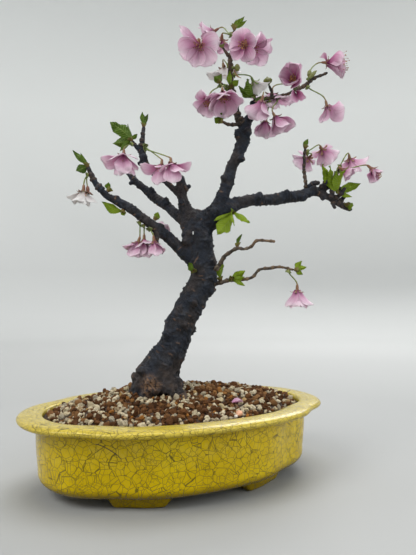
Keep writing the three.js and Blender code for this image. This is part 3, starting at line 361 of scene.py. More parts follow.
def ray(pair, angle):
    """The direction at an angle between two that are square to each other."""
    return pair[0] * math.cos(angle) + pair[1] * math.sin(angle)


def circle(count):
    return np.arange(count) / count * 2 * math.pi


def bezier(t, a, b, c, d):
    return a * (1 - t) ** 3 + 3 * b * t * (1 - t) ** 2 + 3 * c * t * t * (1 - t) + d * t ** 3


def way_along(path):
    """The distance along a path at each of its points."""
    return np.concatenate([[0], np.cumsum(np.linalg.norm(np.diff(path, axis=0), axis=1))])


def scatter(cells, seed):
    """One repeatable number from 0 to 1 for each whole-numbered cell."""
    h = cells[..., 0] * 73856093 ^ cells[..., 1] * 19349663 ^ cells[..., 2] * 83492791 ^ (seed + 1) * 40503
    h &= 0xFFFFFFFF
    for _ in range(2):
        h = ((h ^ (h >> 16)) * 0x45D9F3B) & 0xFFFFFFFF
    return (h ^ (h >> 16)) / 4294967296.0


def noise(points, size, seed=0):
    """Smooth noise from -1 to 1 with lumps of the given size."""
    q = np.asarray(points, float) / size
    cell = np.floor(q).astype(np.int64)
    part = q - cell
    part = part * part * (3 - 2 * part)
    total = np.zeros(q.shape[:-1])
    for corner in np.ndindex(2, 2, 2):
        weight = np.prod(np.where(np.array(corner) == 1, part, 1 - part), axis=-1)
        total += weight * scatter(cell + np.array(corner), seed)
    return total * 2 - 1


def row_noise(x, y, z, size, seed):
    """Noise at places given by their three coordinates."""
    return noise(np.stack(np.broadcast_arrays(x, y, z), -1), size, seed)


def smooth_step(low, high, x):
    t = np.clip((np.asarray(x, float) - low) / (high - low), 0, 1)
    return t * t * (3 - 2 * t)


# ---------------------------------------------------------------- meshes


class Shape:
    """Gathers closed surfaces into one mesh, with named numbers at its points."""

    def __init__(self):
        self.points, self.faces, self.values, self.count = [], [], {}, 0

    def add(self, points, faces, **values):
        points = np.asarray(points, float).reshape(-1, 3)
        self.points.append(points)
        self.faces += [np.asarray(f) + self.count for f in faces]
        for key, value in values.items():
            spread = np.broadcast_to(np.asarray(value, float).reshape(-1), (len(points),))
            self.values.setdefault(key, []).append(spread)
        self.count += len(points)

    def piece(self, name, finish, slot, replaces=(), smooth=True):
        thing = self.mesh_object(name, finish, smooth)
        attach(thing, "root")
        if replaces:
            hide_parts(*replaces)
        return thing

    def mesh_object(self, name, finish, smooth=True):
        mesh = bpy.data.meshes.new(name)
        points = (np.vstack(self.points) + [POT_X, 0, 0]) * 0.001
        mesh.from_pydata(points.tolist(), [], [f for group in self.faces for f in group.tolist()])
        mesh.polygons.foreach_set("use_smooth", [smooth] * len(mesh.polygons))
        for key, parts in self.values.items():
            layer = mesh.attributes.new(key, "FLOAT", "POINT")
            layer.data.foreach_set("value", np.concatenate(parts).astype(np.float32))
        mesh.materials.append(finish)
        mesh.update()
        return linked(name, mesh)


def linked(name, data):
    """A new object in the scene."""
    thing = bpy.data.objects.new(name, data)
    bpy.context.scene.collection.objects.link(thing)
    return thing


def grid_faces(rows, columns, wrap):
    """Quads between rows of points; wrap joins the last column to the first."""
    i = np.arange(rows - 1)[:, None] * columns
    j = np.arange(columns if wrap else columns - 1)[None, :]
    k = (j + 1) % columns
    return np.stack([i + j, i + k, i + columns + k, i + columns + j], -1).reshape(-1, 4)


def closed_rings(rings, first, last):
    """Points and faces of a run of rings closed with a pole at each end."""
    rows, columns = rings.shape[:2]
    points = np.vstack([rings.reshape(-1, 3), first, last])
    j = np.arange(columns)
    k = (j + 1) % columns
    low = np.full(columns, rows * columns)
    top = (rows - 1) * columns
    ends = np.vstack([np.stack([low, k, j], -1), np.stack([low + 1, top + j, top + k], -1)])
    return points, [grid_faces(rows, columns, True), ends]


def path_frames(path):
    """Tangents of a path, with a normal carried along it without twist."""
    tangents = unit(np.gradient(path, axis=0))
    normal = np.array([0.0, 0, 1]) if abs(tangents[0][2]) < 0.8 else np.array([1.0, 0, 0])
    normals = []
    for tangent in tangents:
        normal = unit(normal - tangent * normal.dot(tangent))
        normals.append(normal)
    normals = np.array(normals)
    return tangents, normals, np.cross(tangents, normals)


def sweep(path, radii, sides):
    """A closed tube with rounded ends. Returns points, faces, and along and around for each point."""
    path, radii = np.asarray(path, float), np.broadcast_to(np.asarray(radii, float), (len(path),))
    tangents, normals, binormals = path_frames(path)
    angles = circle(sides)
    out = np.cos(angles)[None, :, None] * normals[:, None] + np.sin(angles)[None, :, None] * binormals[:, None]
    steps = way_along(path)
    rings = path[:, None] + out * radii[:, None, None]
    ends = []
    for end, bulge, bends in ((0, -0.5, (0.87, 0.5)), (-1, 0.8, (0.5, 0.87))):
        pole = tangents[end] * radii[end] * bulge
        ends.append((np.array([path[end] + pole * a + (rings[end] - path[end]) * math.sqrt(1 - a * a)
                               for a in bends]), path[end] + pole))
    points, faces = closed_rings(np.concatenate([ends[0][0], rings, ends[1][0]]), ends[0][1], ends[1][1])
    steps = np.concatenate([[0, 0], steps, [steps[-1]] * 2])
    along = np.concatenate([np.repeat(steps, sides), [0, steps[-1]]])
    around = np.concatenate([np.tile(angles, len(steps)), [0, 0]])
    return points, faces, along, around


def sheet(surface, half):
    """Closes a grid of points into a thin sheet, half its thickness to each side. Returns points and faces."""
    rows, columns = surface.shape[:2]
    normal = unit(np.cross(np.gradient(surface, axis=0), np.gradient(surface, axis=1)))
    half = np.broadcast_to(half, (rows, columns))[..., None]
    points = np.vstack([(surface + normal * half).reshape(-1, 3), (surface - normal * half).reshape(-1, 3)])
    face = grid_faces(rows, columns, False)
    size = rows * columns
    index = np.arange(size).reshape(rows, columns)
    edge = np.concatenate([index[0, :-1], index[:-1, -1], index[-1, :0:-1], index[:0:-1, 0]])
    after = np.roll(edge, -1)
    rim = np.stack([edge, edge + size, after + size, after], -1)
    return points, [face, face[:, ::-1] + size, rim[:, ::-1]]


def unit_grid(rows, columns):
    """Shares along and across: u from 0 to 1 and v from -1 to 1."""
    return np.meshgrid(np.linspace(0, 1, rows), np.linspace(-1, 1, columns), indexing="ij")


def ball(level):
    """Points and triangles of a sphere of radius 1."""
    g = (1 + 5 ** 0.5) / 2
    points = [(-1, g, 0), (1, g, 0), (-1, -g, 0), (1, -g, 0), (0, -1, g), (0, 1, g), (0, -1, -g), (0, 1, -g),
              (g, 0, -1), (g, 0, 1), (-g, 0, -1), (-g, 0, 1)]
    faces = [(0, 11, 5), (0, 5, 1), (0, 1, 7), (0, 7, 10), (0, 10, 11), (1, 5, 9), (5, 11, 4), (11, 10, 2),
             (10, 7, 6), (7, 1, 8), (3, 9, 4), (3, 4, 2), (3, 2, 6), (3, 6, 8), (3, 8, 9), (4, 9, 5), (2, 4, 11),
             (6, 2, 10), (8, 6, 7), (9, 8, 1)]
    points = [tuple(unit(p)) for p in points]
    for _ in range(level):
        middle, split = {}, []

        def between(a, b):
            key = (min(a, b), max(a, b))
            if key not in middle:
                points.append(tuple(unit(np.array(points[a]) + points[b])))
                middle[key] = len(points) - 1
            return middle[key]

        for a, b, c in faces:
            ab, bc, ca = between(a, b), between(b, c), between(c, a)
            split += [(a, ab, ca), (b, bc, ab), (c, ca, bc), (ab, bc, ca)]
        faces = split
    return np.array(points), np.array(faces)


def applied(thing):
    """A piece's mesh with its modifiers applied."""
    graph = bpy.context.evaluated_depsgraph_get()
    graph.update()
    return bpy.data.meshes.new_from_object(thing.evaluated_get(graph), depsgraph=graph)


def combine(thing, shape, operation, finish):
    """Joins a closed shape to a piece, or cuts it out."""
    other = shape.mesh_object("other", finish)
    step = thing.modifiers.new(operation.lower(), "BOOLEAN")
    step.operation, step.object, step.solver = operation, other, "MANIFOLD"
    thing.data = applied(thing)
    thing.modifiers.clear()
    bpy.data.objects.remove(other)


# ---------------------------------------------------------------- finishes


class Finish:
    """A node material, written as nested calls."""

    def __init__(self, name):
        self.material = bpy.data.materials.new(name)
        self.material.use_nodes = True
        self.tree = self.material.node_tree
        self.tree.nodes.clear()
        self.mm = self.scaled(self.node("TexCoord").outputs["Object"], 1000.0)

    def node(self, kind, inputs=None, **settings):
        node = self.tree.nodes.new("ShaderNode" + kind)
        for key, value in settings.items():
            setattr(node, key, value)
        for key, value in (inputs or {}).items():
            socket = node.inputs[key]
            if isinstance(value, bpy.types.NodeSocket):
                self.tree.links.new(value, socket)
            else:
                socket.default_value = value
        return node

    def attribute(self, name):
        return self.node("Attribute", attribute_name=name).outputs["Fac"]

    def noise(self, size, detail=3.0, rough=0.55, vector=None, output=0):
        """Noise with lumps of the given size in millimetres, from 0 to 1."""
        inputs = {"Vector": vector or self.mm, "Scale": 1 / size, "Detail": detail, "Roughness": rough}
        return self.node("TexNoise", inputs).outputs[output]

    def cells(self, size, feature="F1", random=1.0, vector=None, output="Distance"):
        inputs = {"Vector": vector or self.mm, "Scale": 1 / size, "Randomness": random}
        return self.node("TexVoronoi", inputs, feature=feature).outputs[output]

    def scaled(self, vector, share):
        return self.node("VectorMath", {0: vector, "Scale": share}, operation="SCALE").outputs[0]

    def moved(self, vector, by, operation="ADD"):
        return self.node("VectorMath", {0: vector, 1: by}, operation=operation).outputs[0]

    def wobble(self, size, reach):
        """The place in millimetres, moved about by noise."""
        centred = self.moved(self.noise(size, 2.0, 0.5, output=1), (0.5, 0.5, 0.5), "SUBTRACT")
        return self.moved(self.mm, self.scaled(centred, reach))

    def math(self, operation, a, b=0.0):
        return self.node("Math", {0: a, 1: b}, operation=operation).outputs[0]

    def times(self, a, b):
        return self.math("MULTIPLY", a, b)

    def plus(self, a, b):
        return self.math("ADD", a, b)

    def minus(self, a, b):
        return self.math("SUBTRACT", a, b)

    def most(self, a, b):
        return self.math("MAXIMUM", a, b)

    def size_of(self, a):
        return self.math("ABSOLUTE", a)

    def uneven(self, size, detail, reach):
        """Noise about 0."""
        return self.times(self.minus(self.noise(size, detail), 0.5), reach)

    def span(self, value, low, high, to_low=0.0, to_high=1.0):
        inputs = {"Value": value, "From Min": low, "From Max": high, "To Min": to_low, "To Max": to_high}
        return self.node("MapRange", inputs, interpolation_type="SMOOTHSTEP").outputs[0]

    def ramp(self, value, *stops):
        node = self.node("ValToRGB", {0: value})
        elements = node.color_ramp.elements
        while len(elements) < len(stops):
            elements.new(0.5)
        for element, (place, colour) in zip(elements, stops):
            element.position, element.color = place, (*colour, 1)
        return node.outputs[0]

    def mix(self, share, a, b):
        a, b = ((*c, 1) if isinstance(c, tuple) else c for c in (a, b))
        return self.node("Mix", {0: share, 6: a, 7: b}, data_type="RGBA").outputs[2]

    def bump(self, height, distance, strength=1.0, **normal):
        inputs = {"Height": height, "Distance": distance * 0.001, "Strength": strength, **normal}
        return self.node("Bump", inputs).outputs[0]

    def finish(self, colour, roughness, normal=None, glow=0.0, **shader):
        """The shader itself; glow is the share of light that passes through a thin piece."""
        bent = {"Normal": normal} if normal else {}
        inputs = {"Base Color": colour, "Roughness": roughness, **{k.replace("_", " "): v for k, v in shader.items()}}
        surface = self.node("BsdfPrincipled", {**inputs, **bent}).outputs[0]
        if glow:
            passed = self.node("BsdfTranslucent", {"Color": colour, **bent}).outputs[0]
            surface = self.node("MixShader", {0: glow, 1: surface, 2: passed}).outputs[0]
        self.node("OutputMaterial", {0: surface})
        return self.material


def glaze_finish():
    """Yellow glaze with crackle: cracked plates, and finer cracks inside each that stop at its edges."""
    f = Finish("yellow_crackle_glaze")
    rim, deep = f.attribute("rim"), f.attribute("deep")
    patch, fine = f.noise(38, 3.0), f.noise(6, 4.0, 0.6)
    body = f.ramp(patch, (0.3, (0.50, 0.345, 0.0)), (0.52, (0.585, 0.41, 0.0)), (0.72, (0.635, 0.465, 0.0)))
    # Painted reflection: a pale haze, stronger up the wall, stands in for a window reflected softly in the glaze.
    painted_window_reflection = f.times(f.span(fine, 0.35, 0.8), f.attribute("high"))
    body = f.mix(f.times(painted_window_reflection, 0.28), body, (0.60, 0.49, 0.10))
    body = f.mix(f.times(rim, 0.75), body, (0.47, 0.37, 0.065))
    # Painted shade: the wall's foot, a band under the lip, the feet and the drain bores are darkened towards dark
    # brown.
    body = f.mix(f.times(deep, 0.85), body, (0.13, 0.08, 0.0))
    place = f.wobble(9, 2.0)
    crack = None
    for size, width, depth, random in ((9.5, 0.14, 1.0, 0.85), (5.6, 0.12, 0.95, 0.85), (3.6, 0.10, 0.6, 0.85)):
        edge = f.cells(size, "DISTANCE_TO_EDGE", random, place)
        line = f.times(f.span(edge, 0.45 * width / size, 1.7 * width / size, 1.0, 0.0), depth)
        if size < 5:
            line = f.times(line, f.most(f.span(f.noise(15, 1.0), 0.48, 0.6), rim))
        crack = f.most(crack, line) if crack else line
        place = f.moved(place, f.scaled(f.cells(size, "F1", random, place, "Color"), 90.0))
    body = f.mix(f.times(crack, 0.86), body, (0.060, 0.045, 0.003))
    pit = f.span(f.cells(30), 0.014, 0.026, 1.0, 0.0)
    body = f.mix(pit, body, (0.03, 0.02, 0.006))
    height = f.minus(f.times(fine, 0.25), f.plus(crack, f.times(pit, 1.5)))
    normal = f.bump(height, 0.03)
    normal = f.bump(f.noise(26, 2.0), 0.9, 0.5, Normal=normal)
    rough = f.plus(f.times(crack, 0.2), f.span(patch, 0.3, 0.7, 0.14, 0.24))
    return f.finish(body, rough, normal, Coat_Weight=0.12, Coat_Roughness=0.06, IOR=1.5, Specular_IOR_Level=0.34,
                    Specular_Tint=(1.0, 0.9, 0.45, 1.0))


def screen_finish():
    f = Finish("drain_screen_plastic")
    grime = f.noise(5, 4.0)
    colour = f.ramp(grime, (0.35, (0.012, 0.014, 0.012)), (0.7, (0.05, 0.042, 0.03)))
    return f.finish(colour, f.span(grime, 0.3, 0.7, 0.45, 0.75), f.bump(f.noise(0.6, 2.0), 0.05))


def mound_finish():
    f = Finish("fine_dark_soil")
    grain = f.cells(1.3)
    colour = f.ramp(f.noise(4, 5.0, 0.7), (0.3, (0.018, 0.011, 0.007)), (0.6, (0.055, 0.03, 0.018)),
                    (0.8, (0.11, 0.065, 0.035)))
    return f.finish(colour, 0.95, f.bump(grain, 0.6))


def clay_finish():
    f = Finish("baked_clay_grains")
    tone = f.attribute("tone")
    colour = f.ramp(tone, (0.0, (0.040, 0.018, 0.008)), (0.35, (0.085, 0.036, 0.014)), (0.6, (0.13, 0.058, 0.022)),
                    (0.8, (0.19, 0.10, 0.040)), (0.93, (0.28, 0.11, 0.02)), (1.0, (0.11, 0.10, 0.085)))
    dusty = f.noise(1.6, 4.0, 0.7)
    colour = f.mix(f.span(dusty, 0.58, 0.9, 0.0, 0.4), colour, (0.20, 0.12, 0.05))
    colour = f.mix(f.span(dusty, 0.2, 0.45, 0.55, 0.0), colour, (0.02, 0.011, 0.008))
    return f.finish(colour, 0.95, f.bump(f.noise(0.8, 4.0, 0.7), 0.35), Specular_IOR_Level=0.1)


def pumice_finish():
    f = Finish("pumice_grains")
    tone = f.attribute("tone")
    colour = f.ramp(tone, (0.0, (0.40, 0.32, 0.18)), (0.35, (0.56, 0.49, 0.35)), (0.6, (0.42, 0.35, 0.23)),
                    (0.85, (0.27, 0.24, 0.18)), (1.0, (0.36, 0.22, 0.08)))
    pore = f.span(f.cells(1.15), 0.12, 0.34, 1.0, 0.0)
    colour = f.mix(f.times(pore, 0.6), colour, (0.20, 0.15, 0.10))
    colour = f.mix(f.span(f.noise(2.2, 4.0, 0.7), 0.5, 0.8, 0.0, 0.45), colour, (0.34, 0.24, 0.13))
    height = f.minus(f.noise(1.2, 4.0, 0.7), pore)
    return f.finish(colour, 0.9, f.bump(height, 0.4), Specular_IOR_Level=0.15)


def bark_finish(name, dark, mid, worn, mark):
    f = Finish(name)
    relief, lenticel, low = f.attribute("relief"), f.attribute("lenticel"), f.attribute("low")
    patch = f.noise(9, 4.0, 0.6)
    grit = f.noise(1.1, 5.0, 0.7)
    colour = f.ramp(patch, (0.32, dark), (0.55, mid), (0.78, worn))
    brown = f.span(f.noise(21, 3.0, 0.6, f.wobble(12, 9)), 0.48, 0.6, 0.0, 0.72)
    colour = f.mix(brown, colour, tuple(c * s for c, s in zip(worn, (0.85, 0.62, 0.48))))
    colour = f.mix(f.span(grit, 0.55, 0.8, 0.0, 0.5), colour, worn)
    earthy = f.times(low, f.span(f.noise(7, 3.0), 0.42, 0.7, 0.05, 0.6))
    colour = f.mix(earthy, colour, (0.075, 0.045, 0.024))
    # Painted shade: the bark is painted nearly black in its low places between ridges; the ridges' tops are lighter,
    # towards the worn tone.
    colour = f.mix(f.span(relief, -0.5, 0.1, 0.75, 0.0), colour, (0.006, 0.005, 0.006))
    colour = f.mix(f.span(relief, 0.45, 1.1, 0.0, 0.4), colour, worn)
    spot = f.times(lenticel, f.span(f.noise(1.8, 3.0, 0.6), 0.35, 0.6))
    colour = f.mix(spot, colour, mark)
    height = f.plus(f.times(grit, 0.7), f.times(f.cells(1.9, vector=f.wobble(3, 1)), 0.5))
    normal = f.bump(height, 0.8)
    return f.finish(colour, f.span(grit, 0.3, 0.7, 0.62, 0.9), normal, Specular_IOR_Level=0.35)


def petal_finish(name, stops, vein_colour):
    f = Finish(name)
    reach, side, tone = f.attribute("reach"), f.attribute("side"), f.attribute("tone")
    spread = f.plus(reach, f.uneven(4.5, 3.0, 0.22))
    spread = f.plus(spread, f.times(tone, 0.16))
    colour = f.ramp(spread, *stops)
    lines = f.node("CombineXYZ", {0: f.times(side, 11.0), 1: f.times(reach, 1.3), 2: f.times(tone, 60.0)}).outputs[0]
    streak = f.noise(1.0, 2.0, 0.6, lines)
    vein = f.span(streak, 0.48, 0.72)
    fade = f.span(reach, 0.15, 1.0, 0.55, 0.22)
    colour = f.mix(f.times(vein, fade), colour, vein_colour)
    edge = f.span(f.size_of(side), 0.62, 1.0, 0.0, 0.35)
    colour = f.mix(edge, colour, stops[-1][1])
    height = f.plus(f.times(streak, 0.6), f.times(f.noise(2.4, 3.0), 0.6))
    return f.finish(colour, 0.5, f.bump(height, 0.22), 0.42, Sheen_Weight=0.25, Sheen_Roughness=0.4,
                    Specular_IOR_Level=0.3)


def calyx_finish():
    f = Finish("stalk_and_calyx")
    tint = f.plus(f.attribute("tint"), f.uneven(2.2, 3.0, 0.5))
    colour = f.ramp(tint, (0.0, (0.10, 0.16, 0.022)), (0.3, (0.17, 0.21, 0.035)), (0.6, (0.22, 0.10, 0.04)),
                    (1.0, (0.17, 0.035, 0.03)))
    colour = f.mix(f.span(f.noise(0.9, 3.0), 0.5, 0.8, 0.0, 0.4), colour, (0.30, 0.26, 0.09))
    return f.finish(colour, 0.48, f.bump(f.noise(0.9, 3.0), 0.12), 0.12, Sheen_Weight=0.2)


def stamen_finish():
    f = Finish("stamens")
    tip = f.attribute("tip")
    colour = f.ramp(tip, (0.0, (0.32, 0.03, 0.12)), (0.5, (0.48, 0.15, 0.25)), (0.78, (0.52, 0.24, 0.27)),
                    (0.88, (0.22, 0.08, 0.03)), (1.0, (0.42, 0.22, 0.06)))
    colour = f.mix(f.span(f.noise(0.5, 2.0), 0.5, 0.8, 0.0, 0.5), colour, (0.26, 0.08, 0.05))
    return f.finish(colour, 0.55, f.bump(f.noise(0.3, 2.0), 0.05))


def leaf_finish():
    f = Finish("young_leaf")
    reach, side, tone = f.attribute("reach"), f.attribute("side"), f.attribute("tone")
    colour = f.ramp(f.plus(tone, f.uneven(5, 3.0, 0.5)),
                    (0.0, (0.045, 0.10, 0.008)), (0.5, (0.12, 0.21, 0.010)), (1.0, (0.27, 0.38, 0.014)))
    across = f.size_of(side)
    comb = f.math("SINE", f.times(f.minus(reach, f.times(across, 0.16)), 62.0))
    rib = f.most(f.span(comb, 0.72, 1.0), f.span(across, 0.0, 0.09, 1.0, 0.0))
    colour = f.mix(f.times(rib, 0.5), colour, (0.33, 0.42, 0.10))
    scale = f.attribute("scale")
    brown = f.ramp(f.noise(1.6, 3.0), (0.35, (0.12, 0.05, 0.022)), (0.6, (0.22, 0.13, 0.05)),
                   (0.75, (0.20, 0.22, 0.05)))
    colour = f.mix(scale, colour, brown)
    height = f.minus(f.times(f.noise(1.3, 3.0), 0.6), rib)
    return f.finish(colour, 0.48, f.bump(height, 0.2), 0.3, Specular_IOR_Level=0.25)


def bud_finish():
    f = Finish("flower_bud")
    side, tone = f.attribute("side"), f.attribute("tone")
    colour = f.ramp(f.plus(tone, f.minus(f.noise(2.0, 3.0), 0.5)),
                    (0.0, (0.05, 0.09, 0.014)), (0.4, (0.15, 0.17, 0.03)), (0.7, (0.24, 0.11, 0.05)),
                    (1.0, (0.42, 0.12, 0.17)))
    colour = f.mix(f.span(f.size_of(side), 0.55, 1.0, 0.0, 0.5), colour, (0.42, 0.30, 0.15))
    return f.finish(colour, 0.45, f.bump(f.noise(0.9, 3.0), 0.15), 0.1)


def pebble_finish():
    f = Finish("peach_pebble_stone")
    tone = f.attribute("tone")
    colour = f.mix(f.span(tone, 0.2, 0.4), (0.62, 0.33, 0.20), (0.74, 0.70, 0.62))
    colour = f.mix(f.span(f.noise(1.8, 4.0, 0.6), 0.45, 0.75, 0.0, 0.5), colour, (0.42, 0.22, 0.14))
    return f.finish(colour, 0.7, f.bump(f.noise(0.8, 4.0, 0.6), 0.15))

# ---------------------------------------------------------------- pot


def plan(degrees, inset, crease):
    """Points of the pot's plan: a superellipse drawn in at four places. crease has one row for each inset."""
    degrees = np.asarray(degrees, float)[None]
    inset = np.asarray(inset, float).reshape(-1, 1)
    angle, depth, width = (np.asarray(c, float).reshape(-1, 1) for c in np.transpose(np.atleast_2d(crease)))
    from_long_axis = np.abs((degrees + 90) % 180 - 90)
    scale = 1 - depth * np.exp(-((from_long_axis - angle) / width) ** 2)
    ways = ((RIM_LENGTH, np.cos(np.radians(degrees))), (RIM_WIDTH, np.sin(np.radians(degrees))))
    return np.stack([(size / 2 - inset) * scale * np.sign(w) * np.abs(w) ** (2 / PLAN_POWER) for size, w in ways], -1)


def wall_ring(degrees, inset, height):
    """A ring of the wall's plan at one height."""
    flat = plan(degrees, inset, WALL_CREASE)[0]
    return np.column_stack([flat, np.full(len(flat), height)])


def rounded(profile, times):
    """Cuts the corners of an open profile, and keeps its ends."""
    profile = np.asarray(profile, float)
    for _ in range(times):
        near = 0.75 * profile[:-1] + 0.25 * profile[1:]
        far = 0.25 * profile[:-1] + 0.75 * profile[1:]
        inner = np.stack([near, far], 1).reshape(-1, profile.shape[1])
        profile = np.vstack([profile[:1], inner[1:-1], profile[-1:]])
    return profile


def wall_inset(t):
    """The wall leans in towards its foot, and bulges a little between."""
    return WALL_INSET + WALL_TAPER - WALL_TAPER * t - 0.5 * math.sin(math.pi * t)


def pot_profile():
    """Inset, height, and how far the plan has turned from the wall's to the rim's, from the base to the floor."""
    corner = [(WALL_INSET + WALL_TAPER + CORNER_RADIUS * (1 - math.sin(a)),
               FOOT_HEIGHT - 0.4 + CORNER_RADIUS * (1 - math.cos(a)), 0) for a in np.radians(range(0, 91, 18))]
    wall = [(wall_inset(t), WALL_FROM + WALL_RISE * t, 0) for t in (0.0, 0.15, 0.3, 0.45, 0.6, 0.75, 0.9)]
    lip = [(14, 50.6, 0), (13.2, 52.2, 0.3), (10.5, 53.2, 0.7), (6.5, 53.9, 1), (3, 54.1, 1), (0.9, 54.6, 1),
           (-0.2, 56.0, 1), (0.1, 57.6, 1), (1.6, 58.8, 1), (4.5, 59.4, 1), (9, 59.7, 1), (14, 59.6, 1),
           (17.3, 59.2, 0.6), (18.7, 57.9, 0.2), (19.1, 55, 0)]
    inside = [(19.6, 46, 0), (20.4, 36, 0), (21, 26.2, 0), (22.6, 20, 0), (26, 15.6, 0), (33, FLOOR_Z, 0)]
    return rounded(corner + wall + lip + inside, 2)


def pot_foot(start, end):
    """One bracket foot that follows the wall: it bulges a little, and both its ends slope up to the pot."""
    along = np.linspace(0, 1, 40)
    bottom = FOOT_HEIGHT * (1 - smooth_step(0.0, 0.17, np.minimum(along, 1 - along)))
    top = FOOT_HEIGHT + 5.0
    section = rounded([(1.8, 1.0), (0.2, 0.75), (-0.5, 0.4), (0.5, 0.08), (2.2, 0.0), (8.6, 0.0), (10.6, 0.1),
                       (11, 0.5), (11, 1.0)], 1)
    outer = WALL_INSET + WALL_TAPER + FOOT_INSET
    rings = np.array([[wall_ring([a], outer + i, low + (top - low) * h)[0] for i, h in section]
                      for a, low in zip(start + (end - start) * along, bottom)])
    return closed_rings(rings, rings[0].mean(0), rings[-1].mean(0))


def make_pot(finish):
    profile = pot_profile()
    degrees = np.degrees(circle(POT_SEGMENTS))
    mixed = profile[:, 2:3] * np.array(RIM_CREASE) + (1 - profile[:, 2:3]) * np.array(WALL_CREASE)
    rings = np.zeros((len(profile), POT_SEGMENTS, 3))
    rings[..., :2] = plan(degrees, profile[:, 0], mixed)
    rings[..., 2] = profile[:, 1:2]
    uneven = noise(rings, 34, 3) * 0.28 + noise(rings, 12, 4) * 0.09
    rings += unit(rings * [1, 1, 0]) * (uneven * smooth_step(FOOT_HEIGHT, 16, rings[..., 2]))[..., None]
    points, faces = closed_rings(rings, (0, 0, FOOT_HEIGHT), (0, 0, FLOOR_Z))
    height = points[:, 2]
    # Painted shade: darker under the lip and low on the wall, where the glaze colour turns dark brown.
    under_lip_shade = np.clip(1 - np.abs(height - 52.0) / 5.0, 0, 1) * 0.45
    shape, feet, bores = Shape(), Shape(), Shape()
    # high marks the upper wall, where the glaze paints its reflection.
    shape.add(points, faces, rim=smooth_step(53.5, 56.5, height), high=smooth_step(22, 44, height),
              deep=np.maximum(1 - smooth_step(9, 17, height), under_lip_shade))
    pot = shape.piece("pot_glazed", finish, "glaze", ["pot"])
    # The feet and the drain bores are painted dark all over, as painted shade.
    for low, high in (FOOT_SPAN, (180 - FOOT_SPAN[1], 180 - FOOT_SPAN[0])):
        for turn in (0, 180):
            feet.add(*pot_foot(low + turn, high + turn), rim=0, high=0, deep=0.85)
    for side in (-1, 1):
        angles = circle(48)
        ring = np.stack([np.cos(angles) * DRAIN_RADIUS + side * DRAIN_OFFSET, np.sin(angles) * DRAIN_RADIUS], -1)
        rings = np.stack([np.column_stack([ring, np.full(48, z)]) for z in (FOOT_HEIGHT - 9, FLOOR_Z + 9)])
        bores.add(*closed_rings(rings, rings[0].mean(0), rings[1].mean(0)), rim=0, high=0, deep=0.8)
    combine(pot, feet, "UNION", finish)
    combine(pot, bores, "DIFFERENCE", finish)


# ---------------------------------------------------------------- soil


def outward_of(points):
    """How far a place is from the mound's peak, from 0 to 1 at the soil's edge."""
    gap, edge = (p[:, :2] - SOIL_PEAK for p in (points, wall_ring(np.arange(720) / 2.0, SOIL_INSET, 0)))
    bearing, edge_bearing = (np.degrees(np.arctan2(p[:, 1], p[:, 0])) for p in (gap, edge))
    order = np.argsort(edge_bearing)
    reach = np.interp(bearing, edge_bearing[order], np.linalg.norm(edge, axis=1)[order], period=360)
    return np.linalg.norm(gap, axis=1) / reach


def mound_height(points):
    """The soil is highest at its peak, and higher at the back than at the front."""
    outward = np.clip(outward_of(points), 0, 1)
    depth = points[:, 0] * math.sin(TREE_TURN) + points[:, 1] * math.cos(TREE_TURN)
    z = SOIL_EDGE + SOIL_RISE * (1 - outward * outward)
    z = z + BACK_RISE * smooth_step(-45, 25, depth) * (1 - outward ** 4)
    return z - 1.6 + flat_noise(points, 11, 21) * 0.9 + flat_noise(points, 4, 22) * 0.5


def flat_noise(points, size, seed):
    return row_noise(points[:, 0], points[:, 1], 0.0, size, seed)


def make_mound(finish):
    degrees = np.degrees(circle(MOUND_SEGMENTS))
    edge = plan(degrees, SOIL_INSET, WALL_CREASE)[0]
    rings = [wall_ring(degrees, inset, z) for inset, z in ((33.5, 15.7), (24, 20), (21.5, 28), (20.3, 42), (19.6, 54))]
    for outward in np.linspace(1, 0.02, MOUND_ROWS):
        ring = np.array(SOIL_PEAK) + (edge - SOIL_PEAK) * outward
        rings.append(np.column_stack([ring, mound_height(ring)]))
    shape = Shape()
    shape.add(*closed_rings(np.array(rings), (0, 0, 15.7), rings[-1].mean(0)))
    shape.piece("soil_mound", finish, "soil", ["soil"])


def strewn(rng, keep_out):
    """Places for grains on the mound, none on another. Returns x, y and radius."""
    found = np.zeros((0, 3))
    for radius, tries in GRAIN_SIZES:
        tries = int(tries * GRAIN_SHARE)
        spots = rng.uniform(*SOIL_ROOM, (tries, 2))
        radii = radius * rng.uniform(0.78, 1.28, tries)
        inside = outward_of(spots) < 1 - (radii + 0.6) / 75
        for spot, r in zip(spots[inside], radii[inside]):
            gap = np.hypot(found[:, 0] - spot[0], found[:, 1] - spot[1])
            if not keep_out(spot, r) and (gap >= 0.83 * (found[:, 2] + r)).all():
                found = np.vstack([found, [*spot, r]])
    return found


def random_turns(rng, count):
    """Rotation matrices in random directions."""
    w, x, y, z = unit(rng.normal(size=(count, 4))).T
    return np.stack([
        np.stack([1 - 2 * (y * y + z * z), 2 * (x * y - w * z), 2 * (x * z + w * y)], -1),
        np.stack([2 * (x * y + w * z), 1 - 2 * (x * x + z * z), 2 * (y * z - w * x)], -1),
        np.stack([2 * (x * z - w * y), 2 * (y * z + w * x), 1 - 2 * (x * x + y * y)], -1)], 1)


def grains(shape, rng, centers, radii, tones, level, rough, pits=0.0):
    """Lumpy grains, each a closed ball pushed in and out by noise; pits is the depth of a hollow in each."""
    base, faces = ball(level)
    each = (len(centers), 1, 3)
    local = base[None] * (rng.uniform(0.78, 1.22, each) * [1.08, 1.0, 0.86])
    shift = rng.uniform(0, 500, each)
    lumps, grit = (noise(base[None] * size + shift, 0.8, seed) for size, seed in ((0.9, 31), (2.0, 32)))
    local = local * (1 + rough * lumps + 0.5 * rough * grit)[..., None]
    hollow = unit(rng.normal(size=each))
    local = local * (1 - pits * smooth_step(0.55, 0.95, (base[None] * hollow).sum(-1)))[..., None]
    points = np.einsum("nij,nkj->nki", random_turns(rng, len(centers)), local) * radii[:, None, None]
    index = (faces[None] + np.arange(len(centers))[:, None, None] * len(base)).reshape(-1, 3)
    shape.add(points + centers[:, None], [index], tone=np.repeat(tones, len(base)))


